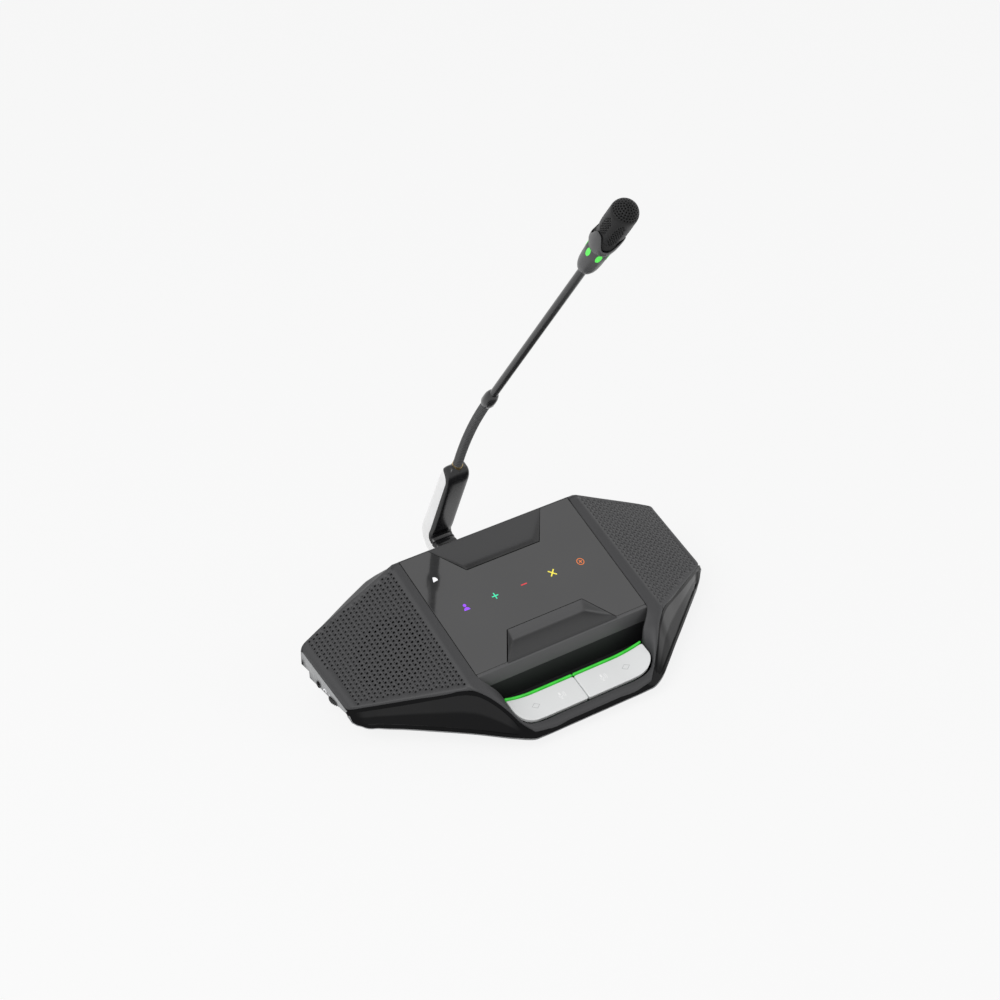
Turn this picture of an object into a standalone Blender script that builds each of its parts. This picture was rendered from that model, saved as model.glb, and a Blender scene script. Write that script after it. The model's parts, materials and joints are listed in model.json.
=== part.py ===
"""Conference delegate unit: a low winged desk housing with a touch panel, two talk keys,
two loudspeakers and a gooseneck microphone on a rear arm.

Metres, +Z up, +X to the user's right, the user sits towards -Y. Shapes are drawn in a body
frame whose y is 0 at the rear edge of the glass panel and whose z is 0 on the table. The last
step moves everything along Y so that the origin lies below the middle of the bounding box.
"""
import math

import bmesh
import bpy
from mathutils import Matrix, Vector

# Fit and general
GAP = 0.0003
OVERRUN = 0.010
ROUND_SIDES = 24
SMALL_SIDES = 12
HOLE_SIDES = 6

# Housing outline
BODY_HALF = 0.1295
PANEL_TOP = 0.072
FOLD_HEIGHT = 0.0382
FOLD_DEPTH = 0.088
PANEL_SLOPE = math.atan2(PANEL_TOP - FOLD_HEIGHT, FOLD_DEPTH)
FRONT_RUN = 0.0272
FRONT_DEPTH = FOLD_DEPTH + FRONT_RUN
FRONT_EDGE_HEIGHT = 0.0126
BREAK_SHARES = [(0.3419, 0.770), (0.5662, 0.523), (0.7794, 0.1875)]
FRONT_FOOT_PROUD = 0.0010
FRONT_FOOT_HEIGHT = 0.0084
KEEL_INSET = 0.0042
LIP_TOP = 0.0126
LIP_INSET = 0.0048
LIP_INNER = FRONT_DEPTH - LIP_INSET
LIP_WIDTH = 0.0047
LIP_BASE = 0.0090
LIP_HALF = 0.0500
LIP_FLAT_HALF = 0.0425
LIP_FLAT_SHARES = [(1.0, -0.10), (0.97, 0.05), (0.89, 0.13), (0.81, 0.25), (0.73, 1.0)]
LIP_SHARES = [(1.0, -0.30), (0.98, 0.02), (0.89, 0.45), (0.81, 0.85), (0.73, 1.0)]
BOTTOM_HEIGHT = 0.0015
REAR_DEPTH = 0.020
REAR_BEVEL = 0.006
REAR_BEVEL_HEIGHT = 0.012
REAR_SHOULDER_DEPTH = 0.012
REAR_WAIST_HEIGHT = 0.042
WING_ROOT = 0.067
WING_FOLD_ROOT = 0.0687
WING_END_REAR = 0.002
WING_END_REAR_HEIGHT = 0.0389
WING_END_INSET = 0.0015
WING_END_FRONT_X = BODY_HALF - WING_END_INSET
WING_END_FRONT = 0.0497
WING_END_FRONT_HEIGHT = 0.0255
SKIRT_FOOT_HEIGHT = 0.0120
SKIRT_FOOT_X = 0.052
SKIRT_FOOT_INSET = 0.0023
SKIRT_TAIL_INSET = 0.0060
SKIRT_TAIL_DEPTH = 0.0566
LIP_CORNER_X = 0.0432
LIP_CORNER_INSET = 0.0026
LIP_CORNER_HEIGHT = 0.0141
UNDERSIDE_ROOT = 0.078
UNDERSIDE_END_HEIGHT = 0.0178
REAR_TAPER_END = 0.0035

# Shells
WALL = 0.0024
LID_RIM = 0.0034
SKIRT_THICKNESS = 0.0016
SKIRT_MARGIN = 0.0034
SCREW_BOSS_RADIUS = 0.0030
SCREW_PAD_RADIUS = 0.0045
SCREW_PAD_TOP = 0.0070
SCREW_SEAT = 0.0045
SCREW_BOSS_X = 0.0708
SCREW_BOSS_REAR = -0.012
SCREW_BOSS_SETBACK = 0.0180
SCREW_RADIUS = 0.0012
SCREW_HEAD_RADIUS = 0.0024
SCREW_HEAD_HEIGHT = 0.0014
SCREW_LENGTH = 0.0110
SCREW_BORE_ROOM = 0.0010

# Glass touch panel and its tray, in the panel's own frame: x, distance down the slope, height
PANEL_HALF = 0.061
PANEL_REAR = 0.0018
FASCIA_SETBACK = 0.0068
FASCIA_FRONT = FOLD_DEPTH - FASCIA_SETBACK
PANEL_FRONT = FASCIA_FRONT / math.cos(PANEL_SLOPE)
GLASS_THICKNESS = 0.0018
TRAY_PAD_DEPTH = 0.0050
TRAY_FLANGE_HALF = 0.0645
TRAY_FLANGE_REAR = 0.0030
TRAY_FLANGE_SETBACK = 0.0060
TRAY_FLANGE_FRONT = PANEL_FRONT - TRAY_FLANGE_SETBACK
BAY_WIDE_HALF = 0.0396
BAY_NARROW_HALF = 0.0266
BAY_REAR_END = 0.0211
BAY_FRONT_LENGTH = 0.0195
BAY_FRONT_START = PANEL_FRONT - BAY_FRONT_LENGTH
BAY_FALL = 0.0045
BAY_FLOOR = 0.0016
FASCIA_THICKNESS = 0.0024
FASCIA_HEIGHT = 0.0100
MAIN_BOARD_HALF = 0.052
MAIN_BOARD_REAR = 0.026
MAIN_BOARD_FRONT = 0.064
MAIN_BOARD_DEPTH = 0.0088
BOARD_THICKNESS = 0.0016
BOARD_POST_RADIUS = 0.0024
BOARD_POST_INSET = 0.0045
STAKE_RADIUS = 0.0010
STAKE_HEAD = 0.0010
LED_SIZE = 0.0030
LED_HEIGHT = 0.0012
ICON_PITCH = 0.0207
ICON_COUNT = 5
ICON_DISTANCE = 0.0442

# Key well, keys and light strips
WELL_REAR = FASCIA_FRONT + 2 * GAP
WELL_FRONT = LIP_INNER
WELL_HALF = 0.0613
WELL_MOUTH_SHARES = [(1.0, 0.0), (0.822, 0.357), (0.812, 0.678), (0.80, 0.80), (0.76, 0.90), (0.69, 0.97),
                     (0.602, 1.0)]
FUNNEL_BASE = 0.0094
FUNNEL_KNEE = 0.0240
FUNNEL_SPREAD_PER_HEIGHT = 0.85
FUNNEL_FULL_SHARE = 0.1471
FUNNEL_FULL_DEPTH = FOLD_DEPTH + FUNNEL_FULL_SHARE * FRONT_RUN
WELL_REAR_HALF = 0.0585
WELL_FLOOR_TOP = 0.0080
WELL_FLOOR_THICKNESS = 0.0018
WELL_HOUSING_HALF = 0.0540
WELL_HOUSING_SHARE = 0.7206
WELL_HOUSING_FRONT = FOLD_DEPTH + WELL_HOUSING_SHARE * FRONT_RUN
WELL_FLOOR_SHARES = [(1.0, 0.0), (1.0, 0.45), (0.93, 0.75), (0.78, 1.0)]
WELL_WALL = 0.0018
WELL_POST_RADIUS = 0.0025
WELL_POST_X = 0.0300
WELL_POST_SHARE = 0.2574
WELL_POST_Y = FOLD_DEPTH + WELL_POST_SHARE * FRONT_RUN
WELL_LEDGE_STEP = 0.0017
WELL_LEDGE_REAR = WELL_REAR + WELL_LEDGE_STEP
WELL_LEDGE_SHARE = 0.1029
WELL_LEDGE_FRONT = FOLD_DEPTH + WELL_LEDGE_SHARE * FRONT_RUN
WELL_LEDGE_TOP = 0.0165
KEY_SLOPE = math.radians(18.0)
KEY_REAR_SHARE = 0.1691
KEY_REAR = FOLD_DEPTH + KEY_REAR_SHARE * FRONT_RUN
KEY_HEIGHT = 0.0203
KEY_HALF = 0.0492
KEY_LENGTH_SHARE = 0.6287
KEY_LENGTH = KEY_LENGTH_SHARE * FRONT_RUN
KEY_THICKNESS = 0.0020
KEY_PARTING = 0.0003
KEY_FLAT_HALF = 0.028
KEY_RISE = 0.0046
KEY_STEPS = 5
KEY_CORNER_SHARES = [(1.0, 0.0), (1.0, 0.54), (0.955, 0.76), (0.885, 0.92), (0.78, 1.0)]
KEY_TRAVEL_ANGLE = math.radians(4.0)
STRIP_WIDTH = 0.0017
STRIP_HEIGHT = 0.0026
STRIP_GAP = 0.0006
STRIP_PROUD = 0.0004
HINGE_DISTANCE = 0.0030
HINGE_DROP = 0.0042
HINGE_RADIUS = 0.0010
HINGE_CLEARANCE = 0.0003
LUG_WIDTH = 0.0020
LUG_HALF = 0.0021
KEY_LUG_SHARES = [0.09, 0.80]
WELL_LUG_X = 0.0436
CENTRE_LUG_HALF = 0.0014
KEY_BOARD_REAR_SHARE = 0.3860
KEY_BOARD_REAR = FOLD_DEPTH + KEY_BOARD_REAR_SHARE * FRONT_RUN
KEY_BOARD_HALF = 0.0400
KEY_BOARD_THICKNESS = 0.0012
DOME_RADIUS = 0.0030
DOME_TOP_RADIUS = 0.0016
DOME_X = 0.0220
DOME_SHARE = 0.5294
DOME_Y = FOLD_DEPTH + DOME_SHARE * FRONT_RUN
DOME_HEIGHT = 0.0043

# Loudspeakers, square to the wing's front facet
SPEAKER_SHARE = 0.416
SPEAKER_X = WING_ROOT + SPEAKER_SHARE * (BODY_HALF - WING_ROOT)
SPEAKER_Y = 0.0420
SPEAKER_RADIUS_SHARE = 0.296
SPEAKER_RADIUS = SPEAKER_RADIUS_SHARE * (BODY_HALF - WING_ROOT)
SPEAKER_RIM_HEIGHT = 0.0020
SPEAKER_MAGNET_SHARE = 0.595
SPEAKER_MAGNET_RADIUS = SPEAKER_MAGNET_SHARE * SPEAKER_RADIUS
SPEAKER_DEPTH = 0.0150
SPEAKER_MAGNET_HEIGHT = 0.0060
SPEAKER_WALL = 0.0012
CONE_SHARE = 0.865
CONE_RADIUS = CONE_SHARE * SPEAKER_RADIUS
CONE_NECK_RADIUS = 0.0050
CONE_DEPTH = 0.0060
CONE_THICKNESS = 0.0006
CLOTH_THICKNESS = 0.0005
GRILLE_PITCH_SHARE = 0.27
GRILLE_PITCH = GRILLE_PITCH_SHARE * SPEAKER_RADIUS
GRILLE_HOLE_RADIUS = 0.0011
GRILLE_RINGS = 3

# Wing ends: headphone jack and volume wheel
SIDE_BOARD_TOP = 0.0259
SIDE_BOARD_THICKNESS = 0.0010
SIDE_BOARD_INSET = 0.0215
SIDE_BOARD_X = BODY_HALF - SIDE_BOARD_INSET
SIDE_BOARD_WIDTH = 0.0165
SIDE_BOARD_REAR = 0.010
SIDE_BOARD_FRONT = 0.0392
JACK_Y = 0.0175
JACK_HEIGHT = 0.0224
JACK_WIDTH = 0.0070
JACK_DEPTH = 0.0140
JACK_SPAN = 0.0046
JACK_NOSE_RADIUS = 0.0022
JACK_BORE_RADIUS = 0.00175
WHEEL_INSET = 0.0080
WHEEL_X = BODY_HALF - WHEEL_INSET
WHEEL_Y = 0.0330
WHEEL_RADIUS = 0.0095
WHEEL_THICKNESS = 0.0026
WHEEL_BASE = 0.0192
WHEEL_BORE_RADIUS = 0.0017
WHEEL_TEETH = 24
WHEEL_TOOTH_DEPTH = 0.0004
WHEEL_SLOT_MARGIN = 0.0007
ENCODER_RADIUS = 0.0036
ENCODER_SPINDLE_RADIUS = 0.0014
POST_RADIUS = 0.0015

# Rear board and network sockets
SOCKET_X = 0.0290
SOCKET_WIDTH = 0.0160
SOCKET_DEPTH = 0.0180
SOCKET_HEIGHT = 0.0135
SOCKET_BASE = 0.0075
SOCKET_MOUTH_WIDTH = 0.0118
SOCKET_MOUTH_HEIGHT = 0.0090
SOCKET_MOUTH_DEPTH = 0.0140
REAR_BOARD_HALF = 0.0440
REAR_BOARD_REAR = 0.0125
REAR_BOARD_FRONT = -0.0250
REAR_POST_X = 0.0400
REAR_POST_Y = -0.0180
REAR_POST_NEAR_Y = -0.0045
FOOT_RADIUS = 0.0070
FOOT_HEIGHT = 0.0012
FOOT_X = 0.0560
FOOT_FRONT_SHARE = 0.0735
FOOT_FRONT = FOLD_DEPTH + FOOT_FRONT_SHARE * FRONT_RUN
FOOT_REAR = 0.0050

# Microphone arm
ARM_HALF = 0.0080
ARM_WALL = 0.0018
ARM_LEAN = math.radians(23.0)
ARM_TOP_Y = 0.0304
ARM_TOP_HEIGHT = 0.1010
ARM_TOP_THICKNESS = 0.0095
ARM_KNEE_Y = 0.0561
ARM_KNEE_HEIGHT = 0.0405
ARM_KNEE_THICKNESS = 0.0108
ARM_FOOT_HEIGHT = 0.0315
ARM_FOOT_THICKNESS = 0.0100
ARM_FOOT_END = 0.0090
ARM_TURN_Y = 0.0480
ARM_COVER_THICKNESS = 0.0024
ARM_ROUND_STEPS = 6
ARM_CAP_SHARE = 0.6
ARM_COVER_RUN = 0.0150
ARM_FOOT_SOLID = 0.0090
ARM_SCREW_X = 0.0045
ARM_SCREW_Y = 0.0130
ARM_SCREW_SEAT = 0.0200
ARM_SCREW_LENGTH = 0.0110
COLUMN_HALF = 0.0100
COLUMN_REAR = 0.0185
COLUMN_FRONT = 0.0070

# Microphone socket, neck and stem
SOCKET_RING_RADIUS = 0.0038
SOCKET_RING_BORE = 0.0025
SOCKET_RING_LENGTH = 0.0120
PLUG_RADIUS = 0.0021
PLUG_LENGTH = 0.0105
FERRULE_RADIUS = 0.0033
FERRULE_LENGTH = 0.0026
NECK_SETBACK = 0.0011
NECK_START_Y = ARM_TOP_Y - NECK_SETBACK
NECK_RISE = 0.0030
NECK_START_HEIGHT = ARM_TOP_HEIGHT + NECK_RISE
NECK_START_LEAN = math.radians(21.0)
NECK_END_LEAN = math.radians(35.3)
NECK_LINKS = 6
NECK_LENGTH = 0.0660
NECK_RADIUS = 0.0029
NECK_RIB_DEPTH = 0.0003
NECK_RIBS = 8
NECK_BORE_RADIUS = 0.0011
NECK_RELIEF = math.radians(10.0)
COLLAR_LENGTH = 0.0125
COLLAR_RADIUS = 0.0041
COLLAR_END_RADIUS = 0.0032
COLLAR_HIGH_SHARE = 0.62
COLLAR_LOW_SHARE = 0.38
COLLAR_SEAT_SHARE = 0.25
TUBE_RADIUS = 0.0025
HEAD_START = 0.1600
MIC_BODY_LENGTH = 0.0215
MIC_BODY_RADIUS = 0.0064
MIC_SHOULDER_SHARE = 0.62
MIC_WAIST_SHARE = 0.28
MIC_WAIST_RADIUS_SHARE = 0.82
LIGHT_RING_LENGTH = 0.0050
MIC_CUP_LENGTH = 0.0140
MIC_CUP_RADIUS = 0.0080
MIC_CUP_WALL = 0.0010
TONGUE_COUNT = 4
TONGUE_DIP = 0.0075
TONGUE_RADIUS = 0.0042
HEAD_LENGTH = 0.0643
WINDSCREEN_RADIUS = 0.0078
WINDSCREEN_WALL = 0.0008
DOME_STEPS = 6
WINDSCREEN_HOLE_RADIUS = 0.0006
WINDSCREEN_HOLE_ROWS = 4
WINDSCREEN_HOLES = 10
CAPSULE_RADIUS = 0.0050
CAPSULE_LENGTH = 0.0120
CAPSULE_SEAT_RADIUS = 0.0050

PARTS = None
CUTTERS = None
ROOT = None


def clear_scene():
    """Empty the scene and make the collections for the parts and for the cutters."""
    global PARTS, CUTTERS, ROOT
    for thing in list(bpy.data.objects):
        bpy.data.objects.remove(thing, do_unlink=True)
    PARTS = bpy.data.collections.new("conference_delegate_unit")
    CUTTERS = bpy.data.collections.new("cutters")
    bpy.context.scene.collection.children.link(PARTS)
    bpy.context.scene.collection.children.link(CUTTERS)
    ROOT = bpy.data.objects.new("unit_origin", None)
    PARTS.objects.link(ROOT)


def paint(name, colour, roughness, metallic=0.0):
    """Material with the named sub-part's colour, roughness and metallic value."""
    material = bpy.data.materials.new(name)
    material.use_nodes = True
    shader = material.node_tree.nodes["Principled BSDF"]
    shader.inputs["Base Color"].default_value = (*colour, 1.0)
    shader.inputs["Roughness"].default_value = roughness
    shader.inputs["Metallic"].default_value = metallic
    material.diffuse_color = (*colour, 1.0)
    return material


def face_outward(shape):
    """Turn every face of a closed body outward."""
    bmesh.ops.recalc_face_normals(shape, faces=shape.faces[:])
    if shape.calc_volume(signed=True) < 0:
        bmesh.ops.reverse_faces(shape, faces=shape.faces[:])


def piece(name, shape, material, frame=Matrix.Identity(4)):
    """A named sub-part from a bmesh drawn in the given frame."""
    mesh = bpy.data.meshes.new(name)
    face_outward(shape)
    shape.to_mesh(mesh)
    shape.free()
    thing = bpy.data.objects.new(name, mesh)
    thing.data.materials.append(material)
    thing.parent = ROOT
    thing.matrix_basis = frame
    PARTS.objects.link(thing)
    return thing


def cutter(name, shape, frame=Matrix.Identity(4)):
    """A hidden body that a Boolean uses."""
    mesh = bpy.data.meshes.new(name)
    face_outward(shape)
    shape.to_mesh(mesh)
    shape.free()
    thing = bpy.data.objects.new(name, mesh)
    thing.parent = ROOT
    thing.matrix_basis = frame
    thing.hide_render = True
    thing.display_type = "WIRE"
    CUTTERS.objects.link(thing)
    return thing


def combine(thing, other, operation):
    """Boolean of a part with another body: DIFFERENCE, UNION or INTERSECT."""
    modifier = thing.modifiers.new(other.name, "BOOLEAN")
    modifier.operation = operation
    modifier.solver = "EXACT"
    modifier.object = other


def block(low, high):
    """Box from its low corner to its high corner."""
    shape = bmesh.new()
    bmesh.ops.create_cube(shape, size=1.0)
    low, high = Vector(low), Vector(high)
    size = high - low
    bmesh.ops.scale(shape, vec=size, verts=shape.verts[:])
    bmesh.ops.translate(shape, vec=(low + high) / 2, verts=shape.verts[:])
    return shape


def rod(radius, low, high, sides=ROUND_SIDES, top_radius=None):
    """Upright cylinder or cone between two heights of its own frame."""
    shape = bmesh.new()
    bmesh.ops.create_cone(shape, cap_ends=True, segments=sides, radius1=radius,
                          radius2=radius if top_radius is None else top_radius, depth=high - low)
    bmesh.ops.translate(shape, vec=(0, 0, (low + high) / 2), verts=shape.verts[:])
    return shape


def moved(shape, matrix):
    """The same bmesh, moved by a matrix."""
    shape.transform(matrix)
    return shape


def together(shapes):
    """Several separate bodies as one bmesh."""
    whole = bmesh.new()
    for shape in shapes:
        face_outward(shape)
        mesh = bpy.data.meshes.new("joined")
        shape.to_mesh(mesh)
        shape.free()
        whole.from_mesh(mesh)
        bpy.data.meshes.remove(mesh)
    return whole


def prism(outline, low, high):
    """Flat outline filled and thickened between two heights, from a 2D curve."""
    curve = bpy.data.curves.new("outline", "CURVE")
    curve.dimensions = "2D"
    curve.fill_mode = "BOTH"
    curve.extrude = (high - low) / 2
    spline = curve.splines.new("POLY")
    spline.points.add(len(outline) - 1)
    for point, (across, along) in zip(spline.points, outline):
        point.co = (across, along, 0, 1)
    spline.use_cyclic_u = True
    guide = bpy.data.objects.new("outline", curve)
    CUTTERS.objects.link(guide)
    graph = bpy.context.evaluated_depsgraph_get()
    mesh = bpy.data.meshes.new_from_object(guide.evaluated_get(graph))
    shape = bmesh.new()
    shape.from_mesh(mesh)
    bmesh.ops.remove_doubles(shape, verts=shape.verts[:], dist=GAP / 100)
    bmesh.ops.translate(shape, vec=(0, 0, (low + high) / 2), verts=shape.verts[:])
    face_outward(shape)
    bpy.data.objects.remove(guide)
    bpy.data.curves.remove(curve)
    bpy.data.meshes.remove(mesh)
    return shape


def turned(name, profile, material, frame, sides=ROUND_SIDES, closed=False):
    """Turned part: a profile of radius and height, given from top to bottom, spun about its axis."""
    shape = bmesh.new()
    points = [shape.verts.new((radius, 0, height)) for radius, height in profile]
    for first, second in zip(points, points[1:]):
        shape.edges.new((first, second))
    if closed:
        shape.edges.new((points[-1], points[0]))
    mesh = bpy.data.meshes.new(name)
    shape.to_mesh(mesh)
    shape.free()
    thing = bpy.data.objects.new(name, mesh)
    thing.data.materials.append(material)
    thing.parent = ROOT
    thing.matrix_basis = frame
    PARTS.objects.link(thing)
    screw = thing.modifiers.new("turn", "SCREW")
    screw.steps = sides
    screw.render_steps = sides
    screw.use_merge_vertices = True
    screw.merge_threshold = GAP / 100
    screw.use_smooth_shade = True
    return thing


def mirrored(points):
    """Outline given for the right half from rear to front, closed over the left half."""
    return points + [(-across, along) for across, along in reversed(points)]


def panel_frame():
    """Frame of the glass: x across, y up the slope, z out of the glass."""
    return Matrix.Translation((0, 0, PANEL_TOP)) @ Matrix.Rotation(PANEL_SLOPE, 4, "X")


def key_frame():
    """Frame of the keys: x across, y up the slope from the keys' rear edge, z out of the keys."""
    return Matrix.Translation((0, -KEY_REAR, KEY_HEIGHT)) @ Matrix.Rotation(KEY_SLOPE, 4, "X")


def across_frame(x=0):
    """Frame for outlines in the YZ plane: its x is the body's y, its y is z, its z is x."""
    turn = Matrix(((0, 0, 1, 0), (1, 0, 0, 0), (0, 1, 0, 0), (0, 0, 0, 1)))
    return Matrix.Translation((x, 0, 0)) @ turn


def panel_height(y):
    """Height of the panel plane at a body y."""
    return PANEL_TOP + y * math.tan(PANEL_SLOPE)


def facet(group, first, second, third):
    """Group, point and outward normal of the plane through three points of the housing."""
    first, second, third = Vector(first), Vector(second), Vector(third)
    normal = (second - first).cross(third - first).normalized()
    inside = Vector((0, -FOLD_DEPTH / 2, PANEL_TOP / 4))
    if normal.dot(first - inside) < 0:
        normal = -normal
    return group, first, normal


def facets():
    """The planes that bound the housing, each in the group that shares its insets."""
    half = Vector((BODY_HALF, 0, 0))
    rear_top = Vector((0, 0, PANEL_TOP))
    fold = Vector((0, -FOLD_DEPTH, panel_height(-FOLD_DEPTH)))
    fall = FOLD_HEIGHT - FRONT_EDGE_HEIGHT
    breaks = [Vector((0, -FOLD_DEPTH - FRONT_RUN * run, FRONT_EDGE_HEIGHT + fall * rise))
              for run, rise in BREAK_SHARES]
    front = Vector((0, -FRONT_DEPTH, FRONT_EDGE_HEIGHT))
    front_foot = Vector((0, -FRONT_DEPTH - FRONT_FOOT_PROUD, FRONT_FOOT_HEIGHT))
    keel = Vector((0, KEEL_INSET - FRONT_DEPTH, BOTTOM_HEIGHT))
    heel = Vector((0, REAR_DEPTH - REAR_BEVEL, BOTTOM_HEIGHT))
    rear_low = Vector((0, REAR_DEPTH, REAR_BEVEL_HEIGHT))
    rear_waist = Vector((0, REAR_DEPTH, REAR_WAIST_HEIGHT))
    shoulder = Vector((0, REAR_SHOULDER_DEPTH, PANEL_TOP - REAR_SHOULDER_DEPTH))
    planes = [
        facet("roof", rear_top, rear_top + half, fold),
        facet("roof", fold, fold + half, breaks[0]),
        facet("roof", breaks[0], breaks[0] + half, breaks[1]),
        facet("roof", breaks[1], breaks[1] + half, breaks[2]),
        facet("front", front, front + half, front_foot),
        facet("front", front_foot, front_foot + half, keel),
        facet("bottom", keel, keel + half, heel),
        facet("rear", heel, heel + half, rear_low),
        facet("rear", rear_low, rear_low + half, rear_waist),
        facet("rear", rear_waist, rear_waist + half, shoulder),
        facet("rear", shoulder, shoulder + half, rear_top),
    ]
    for side in (1, -1):
        root = Vector((side * WING_ROOT, 0, PANEL_TOP))
        corner = Vector((side * WING_FOLD_ROOT, -FOLD_DEPTH, fold.z))
        end_front = Vector((side * WING_END_FRONT_X, -WING_END_FRONT, WING_END_FRONT_HEIGHT))
        end_rear = Vector((side * BODY_HALF, WING_END_REAR, WING_END_REAR_HEIGHT))
        skirt_foot = Vector((side * SKIRT_FOOT_X, SKIRT_FOOT_INSET - FRONT_DEPTH, SKIRT_FOOT_HEIGHT))
        tail_x = WING_END_FRONT_X - SKIRT_TAIL_INSET
        skirt_tail = Vector((side * tail_x, -SKIRT_TAIL_DEPTH, SKIRT_FOOT_HEIGHT))
        lip_corner = Vector((side * LIP_CORNER_X, LIP_CORNER_INSET - FRONT_DEPTH, LIP_CORNER_HEIGHT))
        belly = Vector((side * UNDERSIDE_ROOT, 0, BOTTOM_HEIGHT))
        tip = Vector((side * BODY_HALF, 0, UNDERSIDE_END_HEIGHT))
        rear_root = Vector((side * WING_ROOT, REAR_DEPTH, 0))
        rear_end = Vector((side * BODY_HALF, REAR_TAPER_END, 0))
        shoulder_root = root + Vector((0, REAR_SHOULDER_DEPTH, -REAR_SHOULDER_DEPTH))
        waist_root = Vector((side * WING_ROOT, REAR_DEPTH, REAR_WAIST_HEIGHT))
        planes += [
            facet("roof", root, corner, end_front),
            facet("roof", root, end_front, end_rear),
            facet("front", corner, end_front, skirt_foot),
            facet("front", end_front, skirt_foot, skirt_tail),
            facet("front", corner, lip_corner, skirt_foot),
            facet("bottom", belly, belly - Vector((0, FOLD_DEPTH, 0)), tip),
            facet("end", side * half, side * half + rear_top, side * half + front),
            facet("rear", rear_root, rear_root + rear_top, rear_end),
            facet("rear", root, shoulder_root, end_rear),
            facet("rear", shoulder_root, waist_root, shoulder_root + end_rear - root),
        ]
    return planes


def housing(insets):
    """Block trimmed by the housing's planes, each moved inward by its group's inset."""
    shape = block((-BODY_HALF - OVERRUN, -FRONT_DEPTH - OVERRUN, -OVERRUN),
                  (BODY_HALF + OVERRUN, REAR_DEPTH + OVERRUN, PANEL_TOP + OVERRUN))
    for group, point, outward in facets():
        cut = bmesh.ops.bisect_plane(shape, geom=shape.verts[:] + shape.edges[:] + shape.faces[:],
                                     plane_co=point - outward * insets.get(group, 0),
                                     plane_no=outward, clear_outer=True)
        rim = [part for part in cut["geom_cut"] if isinstance(part, bmesh.types.BMEdge)]
        if rim:
            bmesh.ops.edgeloop_fill(shape, edges=rim)
    bmesh.ops.remove_doubles(shape, verts=shape.verts[:], dist=GAP / 100)
    return shape


def wing_frame(side):
    """Frame on the wing's front facet over the loudspeaker, its z out of the wing."""
    root = Vector((side * WING_ROOT, 0, PANEL_TOP))
    corner = Vector((side * WING_FOLD_ROOT, -FOLD_DEPTH, panel_height(-FOLD_DEPTH)))
    end_front = Vector((side * WING_END_FRONT_X, -WING_END_FRONT, WING_END_FRONT_HEIGHT))
    outward = facet("roof", root, corner, end_front)[2]
    x, y = side * SPEAKER_X, -SPEAKER_Y
    z = root.z - (outward.x * (x - root.x) + outward.y * (y - root.y)) / outward.z
    turn = outward.to_track_quat("Z", "Y").to_matrix().to_4x4()
    return Matrix.Translation((x, y, z)) @ turn


def bay_outline(rear, front, wide_end, clearance):
    """Nameplate bay outline, wide at one end, drawn in the panel frame and grown by a clearance."""
    rear_half = BAY_WIDE_HALF if wide_end == "rear" else BAY_NARROW_HALF
    front_half = BAY_WIDE_HALF if wide_end == "front" else BAY_NARROW_HALF
    return mirrored([(rear_half + clearance, -rear), (front_half + clearance, -front)])


def well_outline(half, rear, front, shares, clearance=0):
    """Outline of the key well or its floor from its shares, as the body's x and y."""
    right = [(half * across + clearance, -rear - (front - rear) * along) for across, along in shares]
    return mirrored(right)


def mouth_body(grow, low):
    """Body of the key opening grown by a margin: upright walls, and a funnel above the knee."""
    outline = well_outline(WELL_HALF, WELL_REAR - GAP, WELL_FRONT + grow, WELL_MOUTH_SHARES, grow)
    shape = prism(outline, low, PANEL_TOP)
    bmesh.ops.bisect_plane(shape, geom=shape.verts[:] + shape.edges[:] + shape.faces[:],
                           plane_co=(0, 0, FUNNEL_KNEE), plane_no=(0, 0, 1))
    for vertex in shape.verts:
        rise = max(0, vertex.co.z - FUNNEL_KNEE)
        share = min(1, max(0, (-vertex.co.y - WELL_REAR) / (FUNNEL_FULL_DEPTH - WELL_REAR)))
        vertex.co.x += math.copysign(rise * share * FUNNEL_SPREAD_PER_HEIGHT, vertex.co.x)
    return shape


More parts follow.
